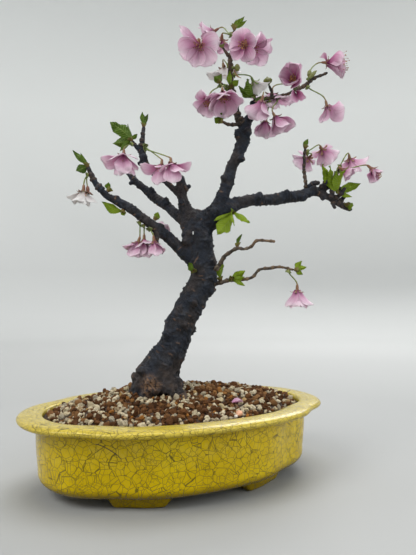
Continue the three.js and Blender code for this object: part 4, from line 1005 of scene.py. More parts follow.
def make_soil(mound, clay, pumice, near_tree):
    rng = np.random.default_rng(7)
    make_mound(mound)
    spots = strewn(rng, lambda spot, radius: near_tree(spot) < radius * 0.4)
    light = rng.random(len(spots)) < 0.34 + 0.34 * flat_noise(spots, 17, 23)
    radii = spots[:, 2]
    centers = np.column_stack([spots[:, :2], mound_height(spots) + radii * rng.uniform(0.15, 0.6, len(spots))])
    brown, pale, fine = Shape(), Shape(), Shape()
    tone = rng.beta(1.7, 2.2, len(spots))
    grains(brown, rng, centers[~light], radii[~light], tone[~light], 1, 0.5)
    for chosen, level in ((light & (radii > LARGE_GRAIN), 2), (light & (radii <= LARGE_GRAIN), 1)):
        grains(pale, rng, centers[chosen], radii[chosen] * 0.92, rng.random(chosen.sum()), level, 0.46, pits=0.5)
    brown.piece("clay_grains", clay, "soil", smooth=False)
    pale.piece("pumice_grains", pumice, "soil", smooth=False)
    low = rng.uniform(*SOIL_ROOM, (int(FINE_GRAINS * GRAIN_SHARE), 2))
    low = low[outward_of(low) < 0.985]
    low = np.array([p for p in low if near_tree(p) > 0.2])
    radii = rng.uniform(0.5, 1.05, len(low))
    centers = np.column_stack([low, mound_height(low) + radii * 0.7])
    grains(fine, rng, centers, radii, rng.random(len(low)) * 0.9, 0, 0.25)
    fine.piece("fine_grains", clay, "soil")


# ---------------------------------------------------------------- tree


def spline(control, index):
    """A centripetal curve from one control point to the next: its start, and the factors of t, t squared and cubed."""
    p = np.vstack([2 * control[0] - control[1], control, 2 * control[-1] - control[-2]])[index:index + 4]
    d0, d1, d2 = (max(np.linalg.norm(b[:3] - a[:3]) ** 0.5, 1e-3) for a, b in zip(p, p[1:]))
    p0, p1, p2, p3 = p
    t1 = ((p1 - p0) / d0 - (p2 - p0) / (d0 + d1) + (p2 - p1) / d1) * d1
    t2 = ((p2 - p1) / d1 - (p3 - p1) / (d1 + d2) + (p3 - p2) / d2) * d1
    return p1, t1, 3 * p2 - 3 * p1 - 2 * t1 - t2, 2 * p1 - 2 * p2 + t1 + t2


def spine(points, step):
    """A curve through control points of three coordinates and a radius, in display coordinates."""
    control = np.asarray(points, float)
    out = []
    for i, (here, after) in enumerate(zip(control, control[1:])):
        p, t1, a, b = spline(control, i)
        n = max(3, int(round(np.linalg.norm(after[:3] - here[:3]) / step)))
        t = np.linspace(0, 1, n, endpoint=i == len(control) - 2)[:, None]
        place = p + t1 * t + a * t ** 2 + b * t ** 3
        place[:, 3] = here[3] + (after[3] - here[3]) * (t * t * (3 - 2 * t))[:, 0]
        out.append(place)
    return np.vstack(out)


def limb_place(name, along):
    """The middle, radius and direction of a limb at a share of its control points."""
    points = np.asarray(LIMBS[name], float)
    index = min(int(along * (len(points) - 1)), len(points) - 2)
    t = along * (len(points) - 1) - index
    p, t1, a, b = (part[:3] for part in spline(points, index))
    radius = points[index][3] + (points[index + 1][3] - points[index][3]) * t
    return display(p + t1 * t + a * t ** 2 + b * t ** 3), radius, unit(display(t1 + 2 * a * t + 3 * b * t * t))


def seat(name, along, target):
    """Where a stalk leaves a limb, and in which direction: on the side that looks at the target."""
    middle, radius, direction = limb_place(name, along)
    if along == 1:
        return middle + direction * radius * 0.8, direction
    leaves = unit((target - middle) - direction * (target - middle).dot(direction))
    return middle + leaves * radius, leaves


def bark_relief(points, along, around, radius, seed):
    """How far the bark stands out, the share of pale lenticel at each place, and a height to colour it by, which the
    finish uses to paint shade in the low places.
    """
    size = np.clip(radius / 8.0, 0.18, 1.1)
    ring_phase = along / (2.6 + 2.0 * size) + 0.75 * noise(points, 8, seed) + 0.3 * noise(points, 3, seed + 1)
    ridge = smooth_step(0.5, 0.95, np.abs(ring_phase - np.floor(ring_phase) - 0.5) * 2)
    broken = smooth_step(-0.3, 0.3, noise(points, 6.5, seed + 2))
    rings = (ridge * broken - 0.3) * 1.05 * size
    base = 1 - smooth_step(66, 104, points[:, 2])
    lumps = (noise(points, 13, seed + 3) * 1.15 + noise(points, 5.5, seed + 4) * 0.72) * size * (1 + 1.3 * base)
    grit = (noise(points, 2.6, seed + 5) * 0.42 + noise(points, 1.3, seed + 6) * 0.16) * size ** 0.5
    row = along / 3.4 + 0.5 * noise(points, 10, seed + 7)
    whole_row = np.floor(row).astype(np.int64)
    column = around * np.maximum(radius, 1) / 6.5 + scatter(np.stack([whole_row] * 3, -1), 5) * 7
    here = scatter(np.stack([whole_row, np.floor(column).astype(np.int64), 0 * whole_row], -1), seed + 8) < 0.13
    lens = np.exp(-((row % 1 - 0.5) / 0.14) ** 2) * np.exp(-((column % 1 - 0.5) / 0.34) ** 4) * here
    return rings + lumps + grit + 0.28 * lens * size, lens, (0.6 * rings + grit) / np.maximum(size, 0.3)


def raw_wood():
    """The thick wood as closed shapes that overlap, and its limbs' middles with distance, radius and directions."""
    raw, samples = Shape(), []
    for index, name in enumerate(THICK):
        path = spine(LIMBS[name], 1.0)
        path[:, 3] *= LIMB_SHARE.get(name, 1.0)
        middle = display(path[:, :3])
        raw.add(*sweep(middle, path[:, 3], 40 if name == "trunk" else 22)[:2])
        samples.append(np.column_stack([middle, way_along(path[:, :3]), path[:, 3], *path_frames(middle)[1:],
                                        np.full(len(path), index)]))
    base, tri = ball(2)
    for *center, radius in KNOTS:
        lump = base * radius * (1 + 0.25 * noise(base * 0.8 + np.array(center) * 0.3, 0.7, 40)[:, None])
        raw.add(lump + display(center), [tri])
    rng = np.random.default_rng(12)
    for degrees, reach in FLARES:
        way = ray(np.eye(3), math.radians(degrees))
        foot = way * reach + [-18, 7, 58]
        crown = way * 11 + [-17, 7, 88 + rng.uniform(-4, 6)]
        path = spine([[*crown, 4.5], [*((foot + crown) / 2 - way * 0.5), 5.4], [*foot, 5.0]], 1.2)
        raw.add(*sweep(display(path[:, :3]), path[:, 3], 16)[:2])
    return raw, np.vstack(samples)


def spread(index, values, count):
    """The sum of the vectors that fall to each of so many places."""
    return np.stack([np.bincount(index, values[:, axis], count) for axis in range(3)], -1)


def smooth_skin(raw, finish):
    """One skin over the raw wood, smoothed. Returns its points, quads and normals."""
    source = raw.piece("tree_wood", finish, "bark")
    step = source.modifiers.new("skin", "REMESH")
    step.mode, step.voxel_size = "VOXEL", VOXEL
    mesh = applied(source)
    bpy.data.objects.remove(source)
    points = np.zeros(len(mesh.vertices) * 3, np.float32)
    mesh.vertices.foreach_get("co", points)
    points = points.reshape(-1, 3).astype(float) * 1000 - [POT_X, 0, 0]
    quads = np.zeros(len(mesh.loops), np.int32)
    mesh.loops.foreach_get("vertex_index", quads)
    quads = quads.reshape(-1, 4)
    bpy.data.meshes.remove(mesh)
    one, other = np.vstack([quads[:, [k, (k + 1) % 4]] for k in range(4)]).T
    count = len(points)
    degree = np.bincount(np.concatenate([one, other]), minlength=count)[:, None]
    for _ in range(6):
        around = spread(one, points[other], count) + spread(other, points[one], count)
        points = 0.35 * points + 0.65 * around / degree
    corner = points[quads]
    face_normal = np.cross(corner[:, 2] - corner[:, 0], corner[:, 3] - corner[:, 1])
    return points, quads, unit(spread(quads.ravel(), np.repeat(face_normal, 4, 0), count))


def barked(points, normals, samples):
    """Points moved out to the bark, and the numbers that colour it."""
    tree = kdtree.KDTree(len(samples))
    for i, sample in enumerate(samples):
        tree.insert(sample[:3], i)
    tree.balance()
    near = samples[np.array([tree.find(p)[1] for p in points.tolist()])]
    away = points - near[:, :3]
    around = np.arctan2((away * near[:, 8:11]).sum(1), (away * near[:, 5:8]).sum(1))
    relief, lens, height = bark_relief(points, near[:, 3] + near[:, 11] * 7.3, around, near[:, 4], 50)
    low = 1 - smooth_step(62, 108, points[:, 2])
    furrow = noise(points * [1, 1, 0.22], 4.2, 70) * 0.9 * low
    burl = np.exp(-(np.linalg.norm((points - display(BURL)) / [6.0, 6.5, 6.5], axis=1)) ** 2)
    lens = lens + 2.6 * burl * smooth_step(-0.7, 0.1, noise(points, 2.2, 71))
    # The furrows go into relief too, so the finish paints them darker as painted shade.
    return points + normals * (relief + furrow - 0.25)[:, None], dict(
        relief=height + furrow * 0.8, lenticel=lens, low=low)


def cut_slit(wood, finish):
    """The narrow way through the fork, cut along the photograph's line of sight."""
    middle = display(SLIT)
    sight = unit(middle - (np.array(VIEW_EYE) - [POT_X, 0, 0]))
    points, faces, _, _ = sweep(middle + sight * np.linspace(-32, 32, 24)[:, None], 0.62, 16)
    middles = middle + sight * ((points - middle) @ sight)[:, None]
    slit = Shape()
    # Painted shade: the slit's walls get relief -0.6, which the bark finish paints near black.
    slit.add(middles + (points - middles) * [0.75, 0.75, 2.65], faces, relief=-0.6, lenticel=0, low=0)
    combine(wood, slit, "DIFFERENCE", finish)


def node_places(length, seed):
    """Places along a twig where buds stood."""
    rng = np.random.default_rng(100 + seed)
    places, at = [], rng.uniform(2, 4)
    while at < length - 1.5:
        places.append(at)
        at += rng.uniform(4.0, 7.5)
    return places


def add_twig(shape, path, index):
    """One twig: it wanders, and swells and bends where buds stood."""
    middle = display(path[:, :3])
    steps = way_along(middle)
    wander = np.stack([noise(middle, 7, 80 + k) for k in range(3)], -1) * 0.5
    middle = middle + wander * smooth_step(0, 4, steps)[:, None]
    nodes = 0 * steps + sum(np.exp(-((steps - spot) / 0.9) ** 2) for spot in node_places(steps[-1], index))
    radii = path[:, 3] * (1 + 0.30 * nodes)
    bend = (nodes * 0.35)[:, None] * unit(np.array([math.sin(index), math.cos(index * 2.1), 0.4]))
    points, faces, along, around = sweep(middle + bend, radii, 14)
    thick = np.append(np.repeat(np.concatenate([[radii[0]] * 2, radii, [radii[-1]] * 2]), 14), [1, 1])
    relief, lens, height = bark_relief(points, along, around, thick, 90 + index)
    middles = np.stack([np.interp(along, steps, middle[:, axis]) for axis in range(3)], -1)
    shape.add(points + unit(points - middles) * (relief * 0.85)[:, None], faces, relief=height,
              lenticel=lens + 0.4 * np.interp(along, steps, nodes), low=0)


def make_tree(finish, twig_finish, dark_twig_finish):
    """The trunk with its limbs, and its twigs. Returns the thick limbs' middles and radii."""
    raw, samples = raw_wood()
    points, quads, normals = smooth_skin(raw, finish)
    points, values = barked(points, normals, samples)
    shape = Shape()
    shape.add(points, [quads], **values)
    cut_slit(shape.piece("tree_trunk_and_branches", finish, "bark", ["tree"]), finish)
    pale_twigs, dark_twigs, tips = Shape(), Shape(), Shape()
    for index, (name, route) in enumerate([*LIMBS.items(), *SPURS.items()]):
        path = spine(route, 0.42)
        path[:, 3] *= TWIG_SHARE.get(name, 1.0)
        if name in THICK:
            thin = np.nonzero(path[:, 3] > TIP_RADIUS)[0].max(initial=0)
            path = path[max(thin - 6, 0):] * [1, 1, 1, 1.04]
            if len(path) < 8:
                continue
        add_twig(pale_twigs if name in PALE_TWIGS else tips if name in THICK or name in SPURS else dark_twigs,
                 path, index)
    tips.piece("tree_branch_tips", finish, "bark")
    pale_twigs.piece("tree_pale_twigs", twig_finish, "bark")
    dark_twigs.piece("tree_dark_twigs", dark_twig_finish, "bark")
    return samples


# ---------------------------------------------------------------- blossoms


def square_to(axis):
    """Two directions square to a blossom's axis: to the viewer's right, and up or towards the viewer."""
    right, near = display([1.0, 0, 0]), display([0, -1.0, 0])
    first = right if abs(axis.dot(right)) < 0.85 else near
    first = unit(first - axis * axis.dot(first))
    return first, np.cross(axis, first)


def petal(origin, axis, out, length, half, opening, seed, curl=0.0, cup=0.35, twist=0.2, ruffle=1.0, spin=0.0,
          grid=PETAL_GRID):
    """One petal: reach runs from its claw to its notch, side from edge to edge. Angles are from the axis."""
    across = np.cross(axis, out)
    fine = np.linspace(0, 1.02, 70)
    angle = np.radians(opening) * (0.7 + 0.6 * fine) + math.radians(curl) * fine ** 2.2
    ahead, away = (np.concatenate([[0], np.cumsum(part(angle[:-1]))]) * fine[1] * length for part in (np.cos, np.sin))
    u, v = unit_grid(*grid)
    reach = u * (1 - 0.12 * np.abs(v) ** 2.5 * u ** 3) - 0.075 * np.exp(-(v / 0.3) ** 2) * u ** 9
    ragged = row_noise(v * 3.1, 0.0, seed * 1.7, 0.5, seed) * 0.03 * ruffle * u ** 6
    reach = np.clip(reach + ragged, 0, 1.02)
    turn = np.interp(reach, fine, angle)
    middle = axis * np.interp(reach, fine, ahead)[..., None] + out * np.interp(reach, fine, away)[..., None]
    inner = axis * np.sin(turn)[..., None] - out * np.cos(turn)[..., None]
    spun = (math.radians(spin) * np.clip(2 * u, 0, 1))[..., None]
    across, inner = across * np.cos(spun) + inner * np.sin(spun), inner * np.cos(spun) - across * np.sin(spun)
    frayed = row_noise(u * 5.0, np.sign(v) * 1.5, seed * 1.9, 0.8, seed + 6)
    wide = np.interp(u, PETAL_ROWS, PETAL_HALF) * half * (1 + 0.07 * ruffle * frayed * np.abs(v) * u)
    place = (v * wide / 7, u * length / 7, seed * 3.3)
    wave = row_noise(*place, 0.62, seed + 1) * 0.085 * length * u ** 1.4 * (0.35 + 0.65 * np.abs(v))
    wave += row_noise(*place, 0.27, seed + 2) * 0.042 * length * u ** 1.8 * (0.25 + 0.75 * v * v) * ruffle
    lopsided = v + 0.6 * v * v
    wave += row_noise(seed * 0.37, 0.5, 0.5, 1, seed + 3) * 0.16 * lopsided * half * u
    crease = -0.10 * half * np.exp(-(v / 0.12) ** 2) * (1 - 0.5 * u)
    lift = cup * wide * v * v + wide * v * twist + wave + crease
    narrow = 1 - 0.22 * cup * v * v
    surface = origin + middle + across * (v * wide * narrow)[..., None] + inner * lift[..., None]
    points, faces = sheet(surface, 0.09 + 0.16 * (1 - u) * (1 - 0.5 * np.abs(v)))
    return points, faces, np.tile(u.ravel(), 2), np.tile(v.ravel(), 2)


def stalk_path(start, leaves, foot, axis, spring=STALK_SPRING):
    """A curve that leaves the wood in one direction and meets the calyx along its axis."""
    reach = spring * np.linalg.norm(foot - start)
    return bezier(np.linspace(0, 1, 26)[:, None], start, start + leaves * reach, foot - axis * reach, foot)


def scales(shape, rng, base, leaves, count, length, width, spread_by, values):
    """Small cupped bud scales around a base, overlapping like tiles; values gives their numbers from their reach."""
    pair = square_to(leaves)
    start = rng.uniform(0, 6.28)
    for k in range(count):
        out = ray(pair, start + k * 2.4)
        size = length * rng.uniform(0.7, 1.15)
        claw = base - leaves * 0.7 + out * (0.35 + 0.12 * k)
        points, faces, reach, _ = petal(claw, leaves, out, size, width * rng.uniform(0.8, 1.1),
                                        spread_by + rng.uniform(-6, 12) + 2.2 * k, 300 + k, curl=10, cup=0.8,
                                        twist=0.05, ruffle=0.5, grid=SMALL_GRID)
        shape.add(points, faces, **values(reach))


def blossom_petals(look, rng, index, hub, axis, length, opening, angles):
    """A blossom's petals, each with its own angle, size and bend."""
    pair = square_to(axis)
    lengths, wides = (look.get(key, (1.0,) * len(angles)) for key in ("lengths", "wides"))
    opens, curls, tones, spins = (look.get(key, (0.0,) * len(angles)) for key in ("opens", "curls", "tones", "spins"))
    cups = look.get("cups") or rng.uniform(0.25, 0.75, len(angles))
    tone = look.get("tone", rng.uniform(-0.55, 0.45))
    petals = Shape()
    for k, share in enumerate(lengths):
        out = ray(pair, math.radians(angles[k] + rng.uniform(-5, 5)))
        size = length * share * rng.uniform(0.96, 1.06)
        points, faces, reach, side = petal(
            hub - axis * 0.6 + out * 1.5, axis, out, size,
            length * look.get("wide", 0.52) * wides[k] * rng.uniform(0.93, 1.07),
            opening + opens[k] + rng.uniform(-8, 8), 40 * index + 7 * k, curls[k] + rng.uniform(-24, 34),
            cups[k], rng.uniform(-0.2, 0.35), look.get("ruffle", 1.2), spins[k])
        petals.add(points, faces, reach=reach, side=side, tone=tone + tones[k] + rng.uniform(-0.2, 0.2))
    for place, way, turned_to, size, opened in look.get("extra", ()):
        out, spin = facing(way), facing(turned_to)
        spin = unit(spin - out * spin.dot(out))
        points, faces, reach, side = petal(display(place), spin, out, size, size * 0.42, opened, 900 + index)
        petals.add(points, faces, reach=reach, side=side, tone=tone)
    return petals


def second_calyx(green, start, leaves, place, faces, index):
    """A calyx without petals, on its own stalk."""
    end, way = display(place), facing(faces)
    points, skin, ran, _ = sweep(stalk_path(start - leaves * 0.5, leaves, end - way * 4, way), 0.5, 8)
    green.add(points, skin, tint=0.1 + 0.4 * ran / ran.max())
    tube = end + way * np.linspace(-4.5, 0, 6)[:, None]
    green.add(*sweep(tube, [0.6, 1.2, 1.5, 1.6, 1.5, 1.0], 12)[:2], tint=0.85)
    pair = square_to(way)
    for k in range(5):
        out = ray(pair, 1.2566 * k + index)
        points, skin, reach, _ = petal(end - way * 0.8 + out * 0.7, way, out, 5.5, 1.2, 34, 720 + k, curl=25,
                                       cup=0.3, twist=0.0, grid=SMALL_GRID)
        green.add(points, skin, tint=1.0 - 0.3 * reach)


def blossom_stalk(look, rng, index, hub, axis, opening, first_angle, limb, along):
    """A blossom's stalk, calyx and sepals, with the bud scales round its start."""
    pair, shade, green = square_to(axis), look.get("tint", 0.0), Shape()
    foot = hub - axis * CALYX_LENGTH
    start, leaves = seat(limb, along, foot)
    path = stalk_path(start - leaves * 0.8, leaves, foot, axis, look.get("spring", STALK_SPRING))
    share = np.linspace(0, 1, len(path))
    radii = STALK_RADIUS * (1.05 - 0.15 * np.sin(math.pi * share)) * (1 + 0.08 * np.sin(share * 23 + index))
    points, faces, ran, _ = sweep(path, radii, STALK_SIDES)
    green.add(points, faces, tint=0.05 + 0.5 * (ran / max(ran.max(), 1)) ** 2 + 0.5 * min(shade, 0))
    tube = foot + axis * np.linspace(-0.5, CALYX_LENGTH - 0.4, 12)[:, None]
    radii = np.interp(np.linspace(0, 1, 12), [0, 0.12, 0.45, 0.8, 1], [0.65, 1.05, 1.25, 1.4, 1.6])
    points, faces, _, around = sweep(tube, radii, TUBE_SIDES)
    middles = foot + axis * ((points - foot) @ axis)[:, None]
    ribs = 1 + 0.05 * np.sin(around * 5)
    green.add(middles + (points - middles) * ribs[:, None], faces, tint=0.75 + 0.2 * np.sin(around * 2.0) + shade)
    for k in range(5):
        out = ray(pair, math.radians(first_angle + 36 + k * 72 + rng.uniform(-6, 6)))
        points, faces, reach, _ = petal(hub - axis * 1.3 + out * 1.1, axis, out, rng.uniform(5.4, 6.8), 1.25,
                                        opening + 14 + rng.uniform(-4, 8), 700 + k, curl=rng.uniform(10, 50),
                                        cup=0.3, twist=0.0, ruffle=0.4, grid=SMALL_GRID)
        green.add(points, faces, tint=0.95 - 0.35 * reach + shade)
    for place, faces in look.get("calyx", ()):
        second_calyx(green, start, leaves, place, faces, index)
    scales(green, rng, start, leaves, STALK_SCALES, 3.4, 1.5, 24, lambda reach: dict(tint=0.5 - 0.4 * reach))
    return green


def blossom_stamens(look, rng, hub, axis, length, opening):
    """A blossom's stamens, each a thread with an anther on its end."""
    pair, threads = square_to(axis), Shape()
    widest = math.radians(min(opening * 0.6, 36))
    t = np.linspace(0, 1, 6)[:, None]
    for k in range(STAMENS):
        out = ray(pair, 2.39996 * k + rng.uniform(-0.2, 0.2))
        lean = widest * math.sqrt((k + 0.5) / STAMENS) * rng.uniform(0.8, 1.15)
        way = unit(ray((axis, out), lean))
        size = length * rng.uniform(0.26, 0.44) * look.get("stamens", 1.0)
        base = hub - axis * 0.8 + out * 1.2 * math.sin(lean) / max(math.sin(widest), 0.1)
        bow = out * rng.uniform(-0.06, 0.14) + np.cross(axis, out) * rng.uniform(-0.1, 0.1)
        path = base + way * size * t + bow * size * (t * (1 - t)) * 1.6
        points, faces, ran, _ = sweep(path, np.linspace(0.17, 0.12, 6), 4)
        threads.add(points, faces, tip=0.75 * ran / size)
        lump, tri = ball(0)
        end = path[-1] + unit(path[-1] - path[-2]) * 0.3
        lump = lump * [0.45, 0.55, 0.65] * rng.uniform(0.85, 1.2)
        threads.add(lump @ random_turns(rng, 1)[0].T + end, [tri], tip=rng.uniform(0.88, 1.0))
    return threads


def make_blossom(row, finishes, index):
    name, heart, faces, length, opening, limb, along, *rest = row
    look = dict(*rest)
    pink, white, calyx_look, stamen_look = finishes
    rng = np.random.default_rng(500 + index)
    hub, axis = display(heart), facing(faces)
    angles = look.get("angles") or rng.uniform(0, 72) + 72 * np.arange(5)
    finish, slot = (white, "white_petal") if look.get("white") else (pink, "pink_petal")
    petals = blossom_petals(look, rng, index, hub, axis, length, opening, angles)
    petals.piece(name + "_petals", finish, slot, ["blossom_" + name])
    green = blossom_stalk(look, rng, index, hub, axis, opening, angles[0], limb, along)
    green.piece(name + "_stalk", calyx_look, "calyx")
    blossom_stamens(look, rng, hub, axis, length, opening).piece(name + "_stamens", stamen_look, "stamen")


# ---------------------------------------------------------------- leaves and buds


def blade(start, tip, width, seed, bow, fold):
    """One young leaf: a folded, toothed blade that bows between its base and its tip."""
    length, axis = np.linalg.norm(tip - start), unit(tip - start)
    across = unit(np.array([axis[2], 0, -axis[0]]))
    above = np.cross(axis, across)
    u, v = unit_grid(*BLADE_GRID)
    teeth = 0.13 * ((u * length / 1.7) % 1.0) * (np.abs(v) > 0.9) * (u > 0.1) * (u < 0.97)
    lobes = row_noise(u * length / 4.2, np.sign(v) * 3.5 + 0.5, seed * 2.7, 1.0, seed + 5)
    wide = 0.53 * width * np.interp(u, LEAF_ROWS, LEAF_HALF) * (1 + teeth + 0.24 * lobes * np.abs(v) ** 0.5)
    place = (v * 1.1, u * length / 4, seed)
    wave = row_noise(*place, 0.7, seed) * 0.26 * width * u * (0.3 + 0.7 * np.abs(v))
    wave += row_noise(*place, 0.3, seed + 1) * 0.09 * width * np.sqrt(u)
    vein = -0.035 * width * np.sin(62 * (u - 0.16 * np.abs(v))) * (1 - np.abs(v)) * 0.5
    lean = row_noise(seed * 1.3, 0.4, 0.2, 1.0, seed + 9) * 0.22 * length * np.sin(math.pi * u ** 0.8)
    lift = bow * length * np.sin(math.pi * u) + fold * wide * np.abs(v) + wave + vein
    aside = v * wide + lean * (1 - u)
    surface = start + axis * (u * length)[..., None] + across * aside[..., None] + above * lift[..., None]
    points, faces = sheet(surface, 0.11 + 0.16 * (1 - np.abs(v)) * (1 - 0.6 * u))
    return points, faces, np.tile(u.ravel(), 2), np.tile(v.ravel(), 2)


def closed_bud(start, tip, width, seed):
    """A plump closed bud with the edges of its overlapping petals."""
    length, axis = np.linalg.norm(tip - start), unit(tip - start)
    t = np.linspace(0, 1, 22)
    radii = 0.5 * width * np.interp(t, [0, 0.1, 0.3, 0.55, 0.8, 0.93, 1], [0.3, 0.62, 0.94, 1, 0.7, 0.36, 0.12])
    points, faces, along, around = sweep(start + axis * (t * length)[:, None], radii, 26)
    spiral = (around * 5 / (2 * math.pi) + along / length * 0.9 + seed) % 1.0
    middles = start + axis * along[:, None]
    points = points + unit(points - middles) * ((spiral - 0.5) * 0.11 * width)[:, None]
    return points, faces, spiral * 2 - 1


def make_cluster(row, leaf_look, bud_look, index):
    name, limb, along, leaves, *rest = row
    look = dict(*rest)
    rng = np.random.default_rng(800 + index)
    is_bud = name in BUDS
    point, away = seat(limb, along, np.mean([display(tip) for tip, _ in leaves], axis=0))
    middle = point + away * 1.5
    shape = Shape()
    lump, tri = ball(2)
    lump = lump * (1.5 + 0.3 * noise(lump, 0.8, 60 + index))[:, None]
    shape.add(middle + lump, [tri], reach=0.2, side=0, tone=0.2, scale=1)
    for k, (tip, width) in enumerate(leaves + look.get("extra", ())):
        tip = display(tip)
        if is_bud and width > 3:
            base = middle if len(leaves) == 1 or k else middle + (tip - middle) * 0.25
            points, faces, side = closed_bud(base, tip, width, index)
            shape.add(points, faces, reach=0.5, side=side, tone=look.get("tone", 0.35), scale=0)
            continue
        points, faces, reach, side = blade(middle - away * 0.3, tip, width, 10 * index + k,
                                           rng.uniform(-0.02, 0.14), rng.uniform(0.25, 0.6))
        shape.add(points, faces, reach=reach, side=side, tone=look.get("tone", 0.5) + rng.uniform(-0.12, 0.12),
                  scale=0)
    if not is_bud:
        scales(shape, rng, point + away * 0.6, away, LEAF_SCALES, look.get("scales", 4.0), 1.9, 14,
               lambda reach: dict(reach=reach, side=0, tone=0.5, scale=1 - 0.55 * reach))
    shape.piece(name, *((bud_look, "bud") if is_bud else (leaf_look, "leaf")), [name])


# ---------------------------------------------------------------- small things on the soil and the pot


def pot_wall(across, height, lift):
    """A place on the near side of the pot's wall, from how far across the display it lies and its height."""
    ring = wall_ring(np.linspace(180, 360, 1441), wall_inset((height - WALL_FROM) / 30) - lift, height)
    c, s = math.cos(TREE_TURN), math.sin(TREE_TURN)
    seen = ring[:, 0] * c - ring[:, 1] * s
    depth = ring[:, 0] * s + ring[:, 1] * c
    return ring[np.argmin(np.abs(seen - across) + 0.01 * (depth - depth.min()))]


def thread(shape, path, radii, **values):
    """A fine root or hair along a path."""
    shape.add(*sweep(path, radii, 6)[:2], lenticel=0, **values)


def make_small_things(looks, pebbles):
    """A hair root on the pot's wall, the pebbles, a dry root on the soil, and the fallen petal."""
    t = np.linspace(0, 1, 24)
    path = np.array([pot_wall(-51.7 + 18.3 * share, 47.5 - 9.9 * share ** 1.5, 0.12) for share in t])
    hair, stones, roots, fallen = (Shape() for _ in range(4))
    thread(hair, path, np.interp(t, [0, 0.1, 0.8, 1], [0.1, 0.26, 0.24, 0.08]), relief=-0.2, low=0.3)
    hair.piece("hair_root_on_pot", looks["twig"], "bark")
    rng = np.random.default_rng(31)
    for x, y, radius, tone in pebbles:
        center = np.array([[x, y, mound_height(np.array([[x, y]]))[0] + radius * 0.75]])
        grains(stones, rng, center, np.array([radius]), np.array([tone]), 3, 0.16)
    stones.piece("peach_pebble", looks["peach"], "soil")
    base = display([90.6, 10, 0])
    base[2] = mound_height(base[None])[0] - 1
    side, up = display([1.0, 0, 0]), np.array([0, 0, 1.0])
    s = np.linspace(0, 1, 20)[:, None]
    path = base + up * (9.0 * s) + side * (4.5 * s ** 2 - 2.0 * np.sin(s * 3.0))
    thread(roots, path, np.linspace(0.45, 0.22, 20), relief=0.2, low=1)
    path = path[8] + side * (-3.2 * s) + up * (1.6 * s - 1.2 * s * s)
    thread(roots, path, np.linspace(0.3, 0.15, 20), relief=0.2, low=1)
    roots.piece("dry_root_on_soil", looks["dark"], "bark")
    low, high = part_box("fallen_petal")
    middle = (np.array(low) + np.array(high)) * 500 - [POT_X, 0, 0]
    middle[2] = mound_height(middle[None])[0] + PETAL_LIFT
    way = unit(display([1.0, 0.35, 0]))
    points, faces, reach, side = petal(middle - way * 4.9, up, way, 10.5, 4.1, 94, 77, curl=-14, cup=0.5, twist=0.05,
                                       ruffle=1.2)
    fallen.add(points, faces, reach=reach * 0.6 + 0.2, side=side, tone=-0.25)
    fallen.piece("fallen_petal_on_soil", looks["pink"], "pink_petal", ["fallen_petal"])


# ---------------------------------------------------------------- stage


def make_stage():
    """A pale floor that turns up into a wall all round, so no edge shows from any side."""
    arc = np.radians(np.linspace(0, 90, 16))
    profile = [(0.02, 0), (0.3, 0), (0.8, 0), (1.4, 0)]
    profile += [(1.5 + 0.9 * math.sin(a), 0.9 * (1 - math.cos(a))) for a in arc] + [(2.4, 1.8), (2.4, 3.0)]
    turns = circle(128)
    rings = np.array([np.stack([np.cos(turns) * r, np.sin(turns) * r, turns * 0 + z], -1) for r, z in profile])
    faces = grid_faces(len(profile), len(turns), True).tolist()
    mesh = bpy.data.meshes.new("floor")
    mesh.from_pydata(rings.reshape(-1, 3).tolist(), [], faces + [list(range(len(turns)))])
    mesh.polygons.foreach_set("use_smooth", [True] * len(mesh.polygons))
    f = Finish("pale_floor")
    x, y, z = f.node("SeparateXYZ", {0: f.mm}).outputs
    out = f.math("SQRT", f.plus(f.times(x, x), f.times(y, y)))
    # Painted light: the floor is painted darker near the middle and paler outward and up its wall, to even out how the
    # lamps light it.
    painted_light_greys = ((0.1, 0.345), (0.225, 0.41), (0.31, 0.48), (0.375, 0.53), (0.425, 0.585), (0.495, 0.62), (0.62, 0.62),
             (0.9, 0.87))
    colour = f.ramp(f.math("DIVIDE", f.plus(out, z), 4000), *((at, (c, c * 1.01, c * 0.995)) for at, c in painted_light_greys))
    mesh.materials.append(f.finish(colour, 0.75, Specular_IOR_Level=0.2))
    linked("floor", mesh)


def soft_light(name, place, size, power, tint, shine):
    """A large soft light at a place in view directions (right, towards the viewer, up), aimed at the tree."""
    right, near, up = place
    yaw = math.radians(VIEW_YAW)
    aim = Vector((0, 0, 0.2))
    spot = aim + Vector((right * math.cos(yaw) - near * math.sin(yaw), -right * math.sin(yaw) - near * math.cos(yaw),
                         up))
    light = bpy.data.lights.new(name, "AREA")
    light.shape, light.size, light.energy, light.color = "DISK", size, power, tint
    light.specular_factor = shine
    thing = linked(name, light)
    thing.location = spot
    thing.rotation_euler = (aim - spot).to_track_quat("-Z", "Y").to_euler()
    thing.visible_camera = False


def light_scene():
    scene = bpy.context.scene
    world = bpy.data.worlds.new("soft_sky")
    world.use_nodes = True
    background = world.node_tree.nodes["Background"]
    background.inputs[0].default_value = (0.93, 0.97, 1.0, 1)
    background.inputs[1].default_value = SKY
    scene.world = world
    for row in LIGHTS:
        soft_light(*row)
    scene.view_settings.view_transform = "Standard"


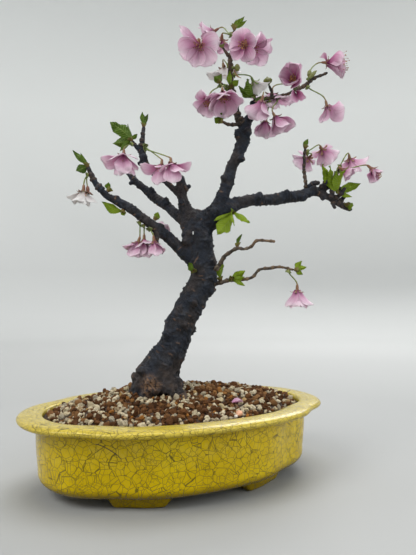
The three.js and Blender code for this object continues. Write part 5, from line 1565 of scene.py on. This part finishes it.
def add_camera():
    """The photograph's own view."""
    yaw, pitch, roll = (math.radians(a) for a in (VIEW_YAW, VIEW_PITCH, VIEW_ROLL))
    ahead = Vector((math.sin(yaw) * math.cos(pitch), math.cos(yaw) * math.cos(pitch), math.sin(pitch)))
    right = Vector((math.cos(yaw), -math.sin(yaw), 0))
    up = right.cross(ahead)
    rolled_right = right * math.cos(roll) + up * math.sin(roll)
    rolled_up = up * math.cos(roll) - right * math.sin(roll)
    camera = bpy.data.cameras.new("camera")
    camera.lens, camera.sensor_width, camera.sensor_fit = VIEW_LENS, 36.0, "AUTO"
    camera.clip_start, camera.clip_end = 0.01, 20
    place = Matrix((rolled_right, rolled_up, -ahead)).transposed().to_4x4()
    place.translation = Vector(VIEW_EYE) * 0.001
    thing = linked("camera", camera)
    thing.matrix_world = place
    bpy.context.scene.camera = thing


# ---------------------------------------------------------------- the whole


def main():
    bark = bark_finish("cherry_bark", (0.0052, 0.0083, 0.0165), (0.0105, 0.0148, 0.0245), (0.046, 0.048, 0.056),
                       (0.16, 0.09, 0.05))
    dark_twig = bark_finish("dark_twig_bark", (0.012, 0.010, 0.010), (0.028, 0.022, 0.019), (0.09, 0.07, 0.055),
                            (0.20, 0.13, 0.07))
    twig = bark_finish("twig_bark", (0.045, 0.034, 0.028), (0.10, 0.078, 0.060), (0.20, 0.165, 0.125),
                       (0.26, 0.17, 0.09))
    pink = petal_finish("pink_petals", PINK_STOPS, (0.50, 0.17, 0.32))
    white = petal_finish("white_petals", WHITE_STOPS, (0.70, 0.55, 0.60))
    blossom_looks = (pink, white, calyx_finish(), stamen_finish())
    leaf_look, bud_look = leaf_finish(), bud_finish()
    make_pot(glaze_finish())
    screen = screen_finish()
    for name in ("drain_screen_left", "drain_screen_right"):
        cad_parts[name].data.materials.clear()
        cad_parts[name].data.materials.append(screen)
    samples = make_tree(bark, twig, dark_twig)
    low = samples[samples[:, 2] < 78]
    pebbles = [(*display([across, depth, 0])[:2], radius, tone) for across, depth, radius, tone in PEBBLES]

    def near_tree(spot):
        gap = (np.hypot(low[:, 0] - spot[0], low[:, 1] - spot[1]) - low[:, 4] * 0.9).min()
        return min(gap, *(math.hypot(x - spot[0], y - spot[1]) - r * 0.8 for x, y, r, _ in pebbles))

    make_soil(mound_finish(), clay_finish(), pumice_finish(), near_tree)
    make_small_things({"twig": twig, "dark": dark_twig, "peach": pebble_finish(), "pink": pink}, pebbles)
    for index, row in enumerate(BLOSSOMS):
        make_blossom(row, blossom_looks, index)
    for index, row in enumerate(LEAF_CLUSTERS):
        make_cluster(row, leaf_look, bud_look, index)
    make_stage()
    light_scene()
    add_camera()


main()
